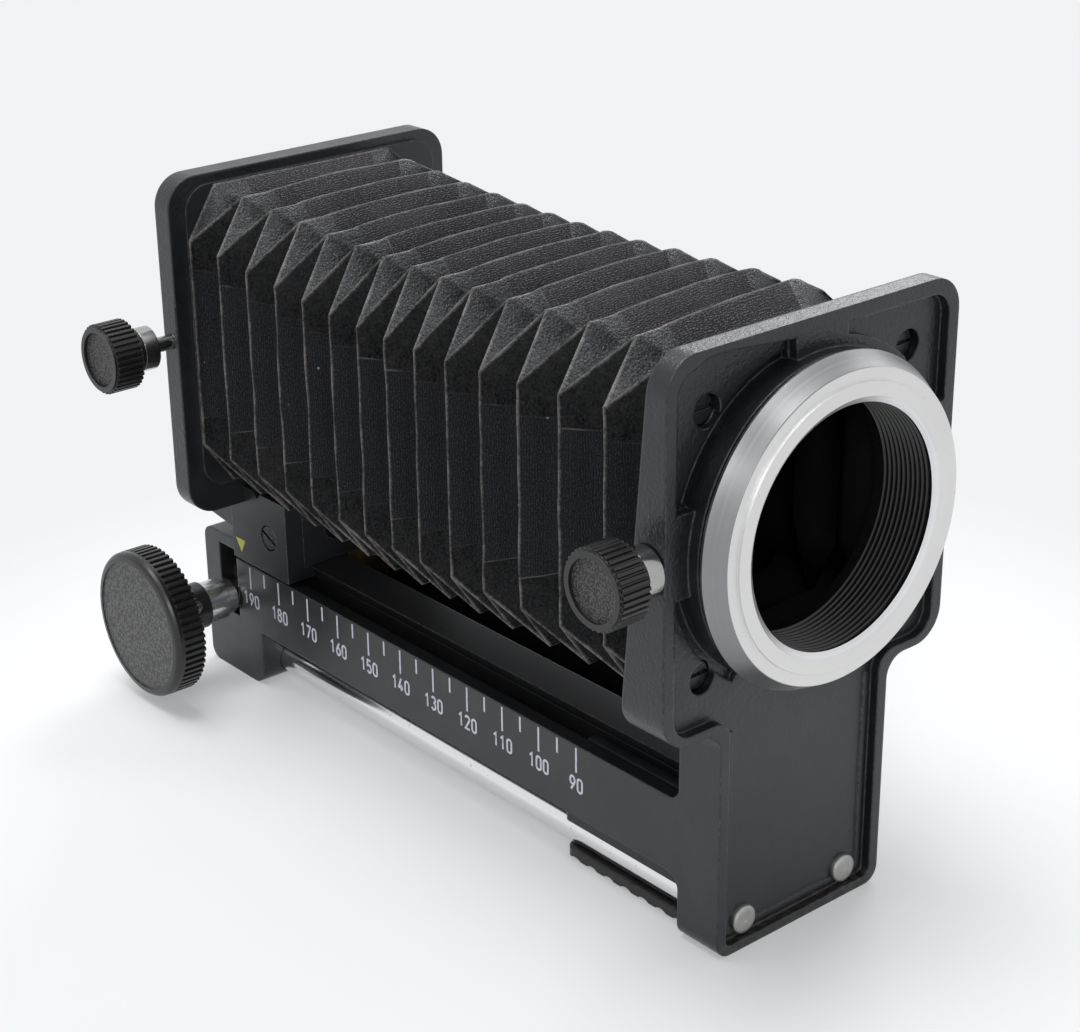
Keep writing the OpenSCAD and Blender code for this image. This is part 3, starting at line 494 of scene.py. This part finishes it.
    # The right corners are round: their slanting ridge bulges
    cut = bmesh.ops.subdivide_edges(bm, edges=list(round_edges_right), cuts=2, use_grid_fill=False)
    for item in cut["geom_inner"]:
        if isinstance(item, bmesh.types.BMVert):
            end = min(item.co.y / MM - BELLOWS_Y0, BELLOWS_Y1 - item.co.y / MM)
            free = max(0.0, min(1.0, end / 6))
            item.co += Vector((0.70, 0.0, 0.85)) * MM * free
            item[from_ridge] = 0.0
        elif isinstance(item, bmesh.types.BMEdge):
            ridge_edges.add(item)
    ridge_edges |= {e for e in bm.edges if all(v[from_ridge] == 0.0 for v in e.verts)}
    ridge_edges = {e for e in ridge_edges if e.is_valid and not e.is_boundary}
    bmesh.ops.recalc_face_normals(bm, faces=bm.faces)
    bmesh.ops.bevel(
        bm, geom=list(ridge_edges | crease_edges), offset=FOLD_RADIUS * MM, offset_type="OFFSET",
        segments=2, profile=0.55, affect="EDGES", clamp_overlap=True, material=-1,
        loop_slide=True,
    )
    bmesh.ops.triangulate(bm, faces=[f for f in bm.faces if len(f.verts) > 4])
    for f in bm.faces:
        f.smooth = True
    bmesh.ops.recalc_face_normals(bm, faces=bm.faces)
    facing = sum(f.normal.x * f.calc_center_median().x * f.calc_area() for f in bm.faces)
    if facing < 0:
        bmesh.ops.reverse_faces(bm, faces=bm.faces)
    mesh = bpy.data.meshes.new("bellows_skin")
    bm.to_mesh(mesh)
    bm.free()
    print("bellows cloth, unfolded:", round(perimeter[16], 1), "x", round(flat_y[-1], 1), "mm")
    return mesh


def worn_line(g, colour, line):
    """Ridges rubbed to grey threads, with a soft border, over colour."""
    away = g.node("Attribute").outputs["Fac"]
    away.node.attribute_name = "from_ridge"
    fray = g.noise(1500.0, 4.0, 0.7)
    stretch = g.noise(170.0, 3.0, 0.6)
    uneven = g.math("MULTIPLY_ADD", fray, 0.7, g.math("MULTIPLY", stretch, 0.7))
    width = g.math("MULTIPLY_ADD", uneven, 0.80, 0.02)
    share = g.math("SUBTRACT", 1.0, g.math("DIVIDE", away, width))
    share = g.math("MULTIPLY", g.span(share, 0.0, 0.9), g.span(uneven, 0.46, 0.92, 0.14, 1.0))
    colour = g.mix(share, colour, line)
    seam = g.node("Attribute").outputs["Fac"]
    seam.node.attribute_name = "from_seam"
    near = g.span(seam, 0.24, 0.08)
    some = g.span(g.noise(95.0, 2.0), 0.48, 0.66)
    return g.mix(g.math("MULTIPLY", near, g.math("MULTIPLY_ADD", some, 0.34, 0.04)), colour, line)


RIB_PITCH = 0.43                    # mm between the ribs of the twill


def woven():
    """Fine twill on the unfolded grid: broken pale dashes on near-black, dusty and worn; the dashes
    are partly painted yarn highlights, and painted light makes the upward faces far lighter.
    """
    g = Graph("bellows_weave", Specular_IOR_Level=0.2, Specular_Tint=COOL)
    flat = g.coords.outputs["UV"]
    _, v, _ = g.parts(flat)
    bend = g.noise(0.8, 2.0, 0.5, flat)
    wander = g.math("MULTIPLY", bend, 14.0)
    rib = g.math("SINE", g.math("MULTIPLY_ADD", v, 2 * math.pi / RIB_PITCH, wander))
    dash = g.noise(1.0, 3.0, 0.75, g.stretched((2.2, 4.6, 1.0), flat))
    grain = g.noise(5200.0, 2.0, 0.6)
    parts = g.math("MULTIPLY_ADD", dash, 1.4, g.math("MULTIPLY", grain, 0.5))
    height = g.math("MULTIPLY_ADD", rib, 0.10, parts)
    # The pale dashes are partly the twill's pattern and partly painted yarn highlights.
    light = g.span(height, 0.90, 1.26)
    up = g.faces_up(0.15, 0.75)
    dust = g.span(g.noise(70.0, 5.0, 0.65), 0.40, 0.70)
    # Painted light: upward faces take a far lighter copy of the twill (top) than upright faces (side),
    # as though lit from above.
    side = g.mix(light, (0.0018, 0.0019, 0.0025), (0.034, 0.034, 0.039))
    top = g.mix(light, (0.0050, 0.0046, 0.0058), (0.138, 0.131, 0.143))
    base = g.mix(up, side, top)
    share = g.math("MULTIPLY", dust, g.math("MULTIPLY_ADD", up, 0.18, 0.04))
    colour = g.mix(share, base, (0.060, 0.057, 0.060))
    lint = g.span(g.cells(260.0), 0.075, 0.045)
    gate = g.span(g.noise(160.0, 2.0), 0.56, 0.62)
    fluff = g.math("MULTIPLY", lint, g.math("MULTIPLY", gate, 0.8))
    colour = g.mix(fluff, colour, (0.34, 0.33, 0.34))
    colour = worn_line(g, colour, (0.19, 0.180, 0.172))
    rough = g.math("MULTIPLY_ADD", grain, 0.2, 0.58)
    return g.set(Base_Color=colour, Roughness=rough, Normal=g.bump(height, 0.08 * MM, 0.95))


def patch_leather():
    """Thin pebbled leathercloth of the corner patches: painted glint specks on near-black, painted
    light on upward faces, a little dust.
    """
    g = Graph("bellows_patch", Specular_Tint=COOL)
    pebbles = g.cells(2300.0)
    creases = g.noise(520.0, 5.0, 0.75, distortion=1.0)
    height = g.math("MULTIPLY_ADD", creases, 2.2, g.math("MULTIPLY", pebbles, -1.0))
    up = g.faces_up(0.0, 0.7)
    dust = g.span(g.noise(120.0, 4.0, 0.6), 0.46, 0.72)
    base = g.mix(g.span(height, 0.1, 1.1), (0.0020, 0.0021, 0.0026), (0.0165, 0.0162, 0.0158))
    # Painted light: upward faces are mixed a little toward a lighter grey.
    base = g.mix(g.math("MULTIPLY", up, 0.08), base, (0.090, 0.087, 0.086))
    share = g.math("MULTIPLY", dust, g.math("MULTIPLY_ADD", up, 0.26, 0.06))
    colour = g.mix(share, base, (0.080, 0.077, 0.076))
    # Painted highlights: pale glint specks, strongest on upward faces.
    painted_glints = g.span(g.noise(2600.0, 2.0, 0.6), 0.60, 0.68)
    seen = g.math("MULTIPLY_ADD", up, 0.24, 0.05)
    colour = g.mix(g.math("MULTIPLY", painted_glints, seen), colour, (0.26, 0.257, 0.25))
    colour = worn_line(g, colour, (0.20, 0.19, 0.18))
    rough = g.math("MULTIPLY_ADD", creases, 0.3, 0.17)
    gloss = g.math("MULTIPLY_ADD", up, 0.22, 0.09)
    return g.set(
        Base_Color=colour, Roughness=rough, Specular_IOR_Level=gloss,
        Normal=g.bump(height, 0.15 * MM, 1.0),
    )


def apply_modifiers(obj):
    evaluated = obj.evaluated_get(bpy.context.evaluated_depsgraph_get())
    mesh = bpy.data.meshes.new_from_object(evaluated)
    obj.modifiers.clear()
    obj.data = mesh


def add_object(name, mesh, materials):
    obj = bpy.data.objects.new(name, mesh)
    scene.collection.objects.link(obj)
    for m in materials:
        mesh.materials.append(m)
    return obj


def lining():
    """Dull black lining inside the bellows."""
    g = Graph("bellows_lining", Specular_IOR_Level=0.15)
    thread = g.noise(2600.0, 3.0, 0.6)
    colour = g.mix(thread, (0.003, 0.003, 0.0036), (0.0095, 0.0095, 0.0108))
    rough = g.math("MULTIPLY_ADD", thread, 0.2, 0.7)
    return g.set(Base_Color=colour, Roughness=rough, Normal=g.bump(thread, 0.02 * MM, 0.5))


inside = lining()
bellows = add_object("bellows_skin", build_bellows(), [woven(), patch_leather(), inside, inside])
thick = bellows.modifiers.new("thickness", "SOLIDIFY")
thick.material_offset = 2
thick.thickness = CLOTH_T * MM
thick.offset = -1.0
apply_modifiers(bellows)
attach(bellows, "base")
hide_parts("bellows")
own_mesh(bellows)


# --------------------------------------------------------------------- rings


def turned_piece(name, profile, material, steps=192):
    """Closed profile of (radius, y) in mm turned about the optical axis."""
    bm = bmesh.new()
    rows = []
    for a in range(steps):
        angle = 2 * math.pi * a / steps
        rows.append([
            bm.verts.new((r * math.cos(angle) * MM, y * MM, r * math.sin(angle) * MM))
            for r, y in profile
        ])
    count = len(profile)
    for a in range(steps):
        one, two = rows[a], rows[(a + 1) % steps]
        for p in range(count):
            q = (p + 1) % count
            bm.faces.new((one[p], one[q], two[q], two[p]))
    bmesh.ops.recalc_face_normals(bm, faces=bm.faces)
    mesh = bpy.data.meshes.new(name)
    bm.to_mesh(mesh)
    bm.free()
    mesh.shade_smooth()
    mesh.set_sharp_from_angle(angle=math.radians(20))
    return add_object(name, mesh, [material])


def thread_profile(r0, r1, y0, y1, pitch):
    """Points of a fine thread between radius r0 and r1, from y0 to y1."""
    points = []
    count = int((y1 - y0) / pitch)
    for i in range(count):
        y = y0 + i * pitch
        points += [
            (r0, y + 0.12 * pitch), (r1, y + 0.48 * pitch),
            (r1, y + 0.56 * pitch), (r0, y + 0.92 * pitch),
        ]
    return points


OPTICAL_AXIS = {"centre": (0, 0, 0), "axis": 1, "groove": 0.002}
silver = turned("ring_silver", (0.80, 0.80, 0.81), 0.34, **OPTICAL_AXIS)
camera_silver = turned("camera_ring_silver", (0.78, 0.78, 0.80), 0.3, **OPTICAL_AXIS)


def face_silver():
    """The ring's flat face: finely faced metal, creamy and nearly matt, with tiny specks."""
    g = Graph("ring_face_silver", Metallic=1.0)
    haze = g.noise(60.0, 4.0, 0.6)
    specks = g.span(g.noise(2400.0, 2.0, 0.6), 0.68, 0.74)
    shade = g.mix(haze, (0.70, 0.70, 0.685), (0.78, 0.78, 0.768))
    colour = g.mix(g.math("MULTIPLY", specks, 0.5), shade, (0.30, 0.29, 0.27))
    return g.set(
        Base_Color=colour, Roughness=g.math("MULTIPLY_ADD", haze, 0.12, 0.40),
        Normal=g.bump(g.noise(5000.0, 2.0), 0.003 * MM, 0.4, round_edges(g, 0.05 * MM)),
    )


def cone_silver():
    """The ring's cone: closely grooved, with painted shade that turns it a darker grey on the knob's
    side.
    """
    g = Graph("ring_cone_silver", Metallic=1.0)
    x, y, z = g.parts()
    radius = g.math("SQRT", g.math("ADD", g.math("MULTIPLY", x, x), g.math("MULTIPLY", z, z)))
    rings = g.node("CombineXYZ", X=radius, Y=y, Z=0.0).outputs[0]
    groove = g.noise(2600.0, 3.0, 0.6, rings)
    smear = g.noise(80.0, 4.0, 0.6)
    # Painted shade: toward -x, on the knob's side, the cone's colour turns from bright silver to a
    # darker grey in place of the darker reflection there.
    side = g.math("MULTIPLY_ADD", smear, 6 * MM, g.math("MULTIPLY_ADD", z, -0.35, x))
    painted_shade = g.span(side, 9 * MM, -9 * MM)
    tone = g.math("MULTIPLY_ADD", groove, 0.5, g.math("MULTIPLY", smear, 0.5))
    bright = g.mix(tone, (0.62, 0.62, 0.63), (0.84, 0.84, 0.85))
    grey = g.mix(tone, (0.22, 0.222, 0.225), (0.33, 0.332, 0.335))
    return g.set(
        Base_Color=g.mix(painted_shade, bright, grey), Roughness=g.math("MULTIPLY_ADD", groove, 0.2, 0.24),
        Normal=g.bump(groove, 0.004 * MM, 0.6, round_edges(g, 0.08 * MM)),
    )


def ring_black():
    g = Graph("ring_inside_black", Specular_IOR_Level=0.5)
    tone = g.noise(900.0, 3.0)
    colour = g.mix(tone, (0.004, 0.004, 0.005), (0.014, 0.014, 0.015))
    rough = g.math("MULTIPLY_ADD", tone, 0.14, 0.14)
    return g.set(Base_Color=colour, Roughness=rough, Normal=g.bump(tone, 0.01 * MM, 0.5))


inner = (
    [(20.46, 0.9)] + thread_profile(20.46, 20.95, 1.2, 11.8, 1.0)
    + [(20.46, 12.0), (20.46, 13.0)]
)
outer = [
    (23.9, 13.0), (23.9, 12.8), (22.6, 12.2), (22.6, 10.2), (23.9, 9.6), (23.9, 4.6),
    (27.85, 4.6), (28.0, 4.45), (28.0, 4.0), (27.9, 3.85), (26.14, 0.66), (26.02, 0.56),
    (25.94, 0.52), (24.1, 0.46), (24.02, 0.42), (24.0, 0.34), (24.0, 0.06), (23.94, 0.0),
    (21.75, 0.0), (21.6, 0.04),
]
lens_ring = turned_piece("lens_ring_turned", inner + outer, silver)
for finish in (ring_black(), cone_silver(), face_silver()):
    lens_ring.data.materials.append(finish)
for f in lens_ring.data.polygons:
    centre = f.center
    out = math.hypot(centre.x, centre.z)
    if out < 21.2 * MM and centre.y > 0.95 * MM:
        f.material_index = 1
    elif out > 26.0 * MM:
        f.material_index = 2
    elif f.normal.y < -0.9 and centre.y < 1.0 * MM:
        f.material_index = 3
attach(lens_ring, "lens_ring")
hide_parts("lens_ring")

outside_thread = thread_profile(20.35, 20.95, 147.5, 150.5, 1.0)
camera_ring = turned_piece(
    "camera_ring_turned",
    [
        (19.0, 145.95), (19.1, 145.85), (22.9, 145.85), (23.0, 145.75), (23.0, 143.92),
        (27.4, 143.92), (27.5, 144.02), (27.5, 146.85), (27.35, 147.0), (20.35, 147.0),
    ] + outside_thread + [(20.35, 150.8), (20.2, 151.2), (19.15, 151.2), (19.0, 151.05)],
    camera_silver,
)
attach(camera_ring, "camera_ring")
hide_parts("camera_ring")


# -------------------------------------------------------------- scale numbers

scale_white = paint("scale_ink", (0.58, 0.615, 0.68), (0.27, 0.285, 0.31))
SCALE_Y = 42.5                      # y of the mark at 90
PANEL_X = -19.51                    # just outside the left panel's face
DIGIT_H = 3.15
DIGIT_TOP = -54.6
STROKE = 0.172                      # width of a stroke, as a share of the digit's height
DIGIT_W = 0.45                      # middle of its left stroke to middle of its right one
ADVANCE = 0.735


def arc(cx, cz, rx, rz, start, end, count=14):
    """Points of an ellipse from start to end, in degrees."""
    turns = [math.radians(start + (end - start) * i / count) for i in range(count + 1)]
    return [(cx + rx * math.cos(t), cz + rz * math.sin(t)) for t in turns]


def strokes(digit):
    """Middle lines of a digit's strokes, in a box one unit high."""
    w, half = DIGIT_W, DIGIT_W / 2
    six = [arc(half, 0.30, half, 0.30, 0, 360, 28), [(w - 0.09, 1.0), (0.10, 0.60), (0.015, 0.40)]]
    return {
        "0": [
            arc(half, 1 - half, half, half, 0, 180)
            + arc(half, half, half, half, 180, 360) + [(w, 1 - half)]
        ],
        "1": [[(half - 0.18, 0.76), (half + 0.04, 1.0), (half + 0.04, 0.0)]],
        "2": [arc(half, 1 - half, half, half, 165, -32) + [(0.0, 0.0), (w + 0.02, 0.0)]],
        "3": [arc(half, 0.77, half - 0.02, 0.23, 155, -90), arc(half, 0.27, half, 0.27, 90, -155)],
        "4": [[(0.26, 1.0), (-0.02, 0.25), (w + 0.04, 0.25)], [(0.29, 0.50), (0.29, 0.0)]],
        "5": [[(w - 0.02, 1.0), (0.05, 1.0), (0.02, 0.56)] + arc(half, 0.31, half, 0.31, 125, -150)],
        "6": six,
        "7": [[(0.0, 1.0), (w, 1.0), (0.12, 0.0)]],
        "8": [arc(half, 0.77, half - 0.03, 0.23, 0, 360, 24), arc(half, 0.27, half, 0.27, 0, 360, 26)],
        "9": [[(w - x, 1.0 - z) for x, z in line] for line in six],
    }[digit]


def add_stroke(bm, line, place, height):
    """A flat ribbon along line, raised off the panel; place turns its points into scene points."""
    closed = math.dist(line[0], line[-1]) < 1e-6
    points = line[:-1] if closed else line
    count = len(points)
    rails = []
    for i, here in enumerate(points):
        before = points[i - 1] if closed or i else None
        after = points[(i + 1) % count] if closed or i < count - 1 else None
        ways = [
            (Vector(b) - Vector(a)).normalized()
            for a, b in ((before, here), (here, after)) if a is not None and b is not None
        ]
        along = sum(ways, Vector((0.0, 0.0))).normalized()
        across = Vector((-along.y, along.x))
        spread = STROKE / 2 / max(0.6, across.dot(Vector((-ways[0].y, ways[0].x))))
        sides = [Vector(here) + across * spread, Vector(here) - across * spread]
        rails.append([bm.verts.new(place(p, up)) for up in (0.0, height) for p in sides])
    spans = [(i, (i + 1) % count) for i in range(count if closed else count - 1)]
    for i, j in spans:
        a, b = rails[i], rails[j]
        for p, q in ((2, 3), (1, 0), (3, 1), (0, 2)):
            bm.faces.new((a[p], a[q], b[q], b[p]))
    if not closed:
        for end in (rails[0], rails[-1]):
            bm.faces.new((end[0], end[1], end[3], end[2]))


def scale_number(bm, value, y):
    """Plain digits on the left panel, upright and centred under their mark."""
    text = str(value)
    tall = DIGIT_H * (1 - STROKE)
    left = -(ADVANCE * (len(text) - 1) + DIGIT_W) / 2
    for n, digit in enumerate(text):

        def place(point, up, shift=left + ADVANCE * n):
            """Text runs toward -Y, stands up along +Z and faces -X."""
            across = (point[0] + shift) * tall
            low = DIGIT_TOP - DIGIT_H * (1 - STROKE / 2)
            return ((PANEL_X - 0.03 * up) * MM, (y - across) * MM, (low + point[1] * tall) * MM)

        for layer, line in enumerate(strokes(digit)):
            add_stroke(bm, line, place, 1.0 + 0.3 * layer)


digits = bmesh.new()
for step in range(11):
    scale_number(digits, 90 + 10 * step, SCALE_Y + 10 * step)
bmesh.ops.recalc_face_normals(digits, faces=digits.faces)
mesh = bpy.data.meshes.new("scale_numbers")
digits.to_mesh(mesh)
digits.free()
numbers = add_object("scale_numbers", mesh, [scale_white])
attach(numbers, "base")


# ----------------------------------------------------- materials of CAD nodes

casting_black = casting()
foot_black = knob_black("foot_enamel", 0.6)
anodised_black = anodised()
plated = steel("plated_steel", (0.66, 0.665, 0.68), 0.12)
rod_steel = steel("rod_steel", (0.80, 0.80, 0.805), 0.14, riveted_to=14.0)
ACROSS_PART = (30.0, 2.0, 2.0)      # rings of turning marks round a shaft along x
shaft_steel = steel("shaft_steel", (0.62, 0.625, 0.63), 0.20, drawn=ACROSS_PART)
stem_steel = steel("stem_steel", (0.42, 0.415, 0.41), 0.17, drawn=ACROSS_PART)
dark_steel = steel("dark_steel", (0.13, 0.13, 0.132), 0.24)
brass_metal = brass()
knob_enamel = knob_black("knob_enamel")
drive_face = grained_face(
    "drive_face_grain", 1700.0, (0.11, 0.11, 0.112), (0.030, 0.030, 0.031), 0.05,
)
lock_face = grained_face(
    "lock_face_grain", 2600.0, (0.100, 0.099, 0.096), (0.010, 0.010, 0.010), 0.16,
)
index_yellow = paint("index_ink", (0.62, 0.60, 0.10), (0.30, 0.28, 0.05))

MATERIALS = {
    casting_black: ["base_casting", "rear_standard"],
    foot_black: ["foot_block", "foot_jaw"],
    anodised_black: [
        "guide_rails", "front_frame_screws", "bellows_front_frame", "bellows_rear_frame",
        "rear_frame_screws", "ring_retainer", "carriage_block", "index_cheek",
    ],
    plated: ["nut_screws", "lead_screw", "knob_grub_screw", "foot_screws"],
    shaft_steel: ["drive_shaft"],
    rod_steel: ["foot_rods"],
    stem_steel: ["front_lock_stem", "rear_lock_stem"],
    dark_steel: ["cheek_screw", "rail_screws", "standard_screws"],
    brass_metal: [
        "front_bush", "rear_bush", "shaft_bush", "drive_nut", "screw_gear", "shaft_gear",
        "tripod_insert",
    ],
    knob_enamel: ["drive_knob", "front_lock_knob", "rear_lock_knob"],
    silver: ["lens_ring"],
    camera_silver: ["camera_ring"],
    scale_white: ["scale_marks"],
    index_yellow: ["index_mark"],
    bellows.data.materials[0]: ["bellows"],
}
for material, names in MATERIALS.items():
    for name in names:
        data = nodes[name].data
        data.materials.clear()
        data.materials.append(material)


def face_disc(name, material, axis_yz, radius, x):
    """Gives a knob's face, the flat inside radius at depth x, its own finish."""
    data = nodes[name].data
    data.materials.append(material)
    for f in data.polygons:
        c = f.center
        far = math.hypot(c.y - axis_yz[0] * MM, c.z - axis_yz[1] * MM)
        if f.normal.x < -0.9 and abs(c.x - x * MM) < 0.12 * MM and far < radius * MM:
            f.material_index = 1


face_disc("drive_knob", drive_face, (150.2, -57.6), 13.3, -41.75)
face_disc("front_lock_knob", lock_face, (11.2, -0.8), 5.3, -43.0)
face_disc("rear_lock_knob", lock_face, (144.6, 1.6), 5.3, -47.6)


# ------------------------------------------------------------ floor and light


FLOOR_Z = -74.72
BACKDROP = (0.885, 0.892, 0.905, 1.0)


def studio_floor():
    """Pale sweep: matt and shaded near the object, even tone further out."""
    g = Graph("floor_paper", Roughness=0.9, Specular_IOR_Level=0.1)
    grain = g.noise(30.0, 3.0)
    colour = g.mix(grain, (0.815, 0.820, 0.825), (0.835, 0.838, 0.842))
    g.set(Base_Color=colour)
    parts = g.parts()
    squares = [g.math("MULTIPLY", parts[i], parts[i]) for i in (0, 1)]
    far = g.math("SQRT", g.math("ADD", *squares))
    share = g.span(far, 0.09, 0.19, 0.30, 1.0)
    path = g.node("LightPath").outputs
    mirrored = g.math("MAXIMUM", path["Is Glossy Ray"], path["Is Transmission Ray"])
    seen = g.math("MAXIMUM", path["Is Camera Ray"], mirrored)
    glow = g.node("Emission", Color=BACKDROP, Strength=1.0)
    mixer = g.node("MixShader", Fac=g.math("MULTIPLY", share, seen))
    g.tree.links.new(g.shader.outputs[0], mixer.inputs[1])
    g.tree.links.new(glow.outputs[0], mixer.inputs[2])
    g.tree.links.new(mixer.outputs[0], g.output.inputs["Surface"])
    return g.material


bm = bmesh.new()
bmesh.ops.create_circle(bm, cap_ends=True, radius=6.0, segments=128)
mesh = bpy.data.meshes.new("floor")
bm.to_mesh(mesh)
bm.free()
floor = add_object("floor", mesh, [studio_floor()])
floor.location = (0.0, 0.07, FLOOR_Z * MM)

world = bpy.data.worlds.new("studio")
scene.world = world
world.use_nodes = True
tree = world.node_tree
tree.nodes.clear()
out = tree.nodes.new("ShaderNodeOutputWorld")
ambient = tree.nodes.new("ShaderNodeBackground")
ambient.inputs[0].default_value = (0.97, 0.985, 1.0, 1.0)
ambient.inputs[1].default_value = 0.38
shown = tree.nodes.new("ShaderNodeBackground")
shown.inputs[0].default_value = BACKDROP
shown.inputs[1].default_value = 1.0
path = tree.nodes.new("ShaderNodeLightPath")
either = tree.nodes.new("ShaderNodeMath")
either.operation = "MAXIMUM"
seen = tree.nodes.new("ShaderNodeMath")
seen.operation = "MAXIMUM"
mixer = tree.nodes.new("ShaderNodeMixShader")
tree.links.new(path.outputs["Is Glossy Ray"], either.inputs[0])
tree.links.new(path.outputs["Is Transmission Ray"], either.inputs[1])
tree.links.new(path.outputs["Is Camera Ray"], seen.inputs[0])
tree.links.new(either.outputs[0], seen.inputs[1])
tree.links.new(seen.outputs[0], mixer.inputs[0])
tree.links.new(ambient.outputs[0], mixer.inputs[1])
tree.links.new(shown.outputs[0], mixer.inputs[2])
tree.links.new(mixer.outputs[0], out.inputs[0])


def area_light(name, place, target, size, power, colour=(1.0, 1.0, 1.0)):
    data = bpy.data.lights.new(name, "AREA")
    data.shape = "RECTANGLE"
    data.size, data.size_y = size
    data.energy = power
    data.color = colour
    obj = bpy.data.objects.new(name, data)
    scene.collection.objects.link(obj)
    obj.location = place
    obj.rotation_mode = "QUATERNION"
    obj.rotation_quaternion = (Vector(target) - Vector(place)).to_track_quat("-Z", "Y")
    return obj


area_light("overhead", (-0.10, 0.22, 0.95), (0.0, 0.07, 0.0), (0.62, 0.62), 8.6)
area_light("front_left", (-0.95, -0.85, 0.75), (0.0, 0.05, -0.02), (0.42, 0.42), 4.6)
area_light("right_back", (0.8, 0.5, 0.6), (0.0, 0.07, 0.0), (0.5, 0.5), 4.0)

scene.view_settings.view_transform = "Standard"

# -------------------------------------------------------------------- camera

lens = bpy.data.cameras.new("camera")
lens.lens = 77.02
lens.sensor_width = 36.0
lens.sensor_fit = "HORIZONTAL"
lens.clip_start = 0.01
lens.clip_end = 30.0
camera = bpy.data.objects.new("camera", lens)
scene.collection.objects.link(camera)
scene.camera = camera
right = Vector((0.760932, -0.648746, -0.010534))
down = Vector((-0.263565, -0.294225, -0.918676))
ahead = right.cross(down)
camera.matrix_world = Matrix((
    (right.x, -down.x, -ahead.x, -249.03 * MM),
    (right.y, -down.y, -ahead.y, -220.32 * MM),
    (right.z, -down.z, -ahead.z, 144.40 * MM),
    (0, 0, 0, 1),
))
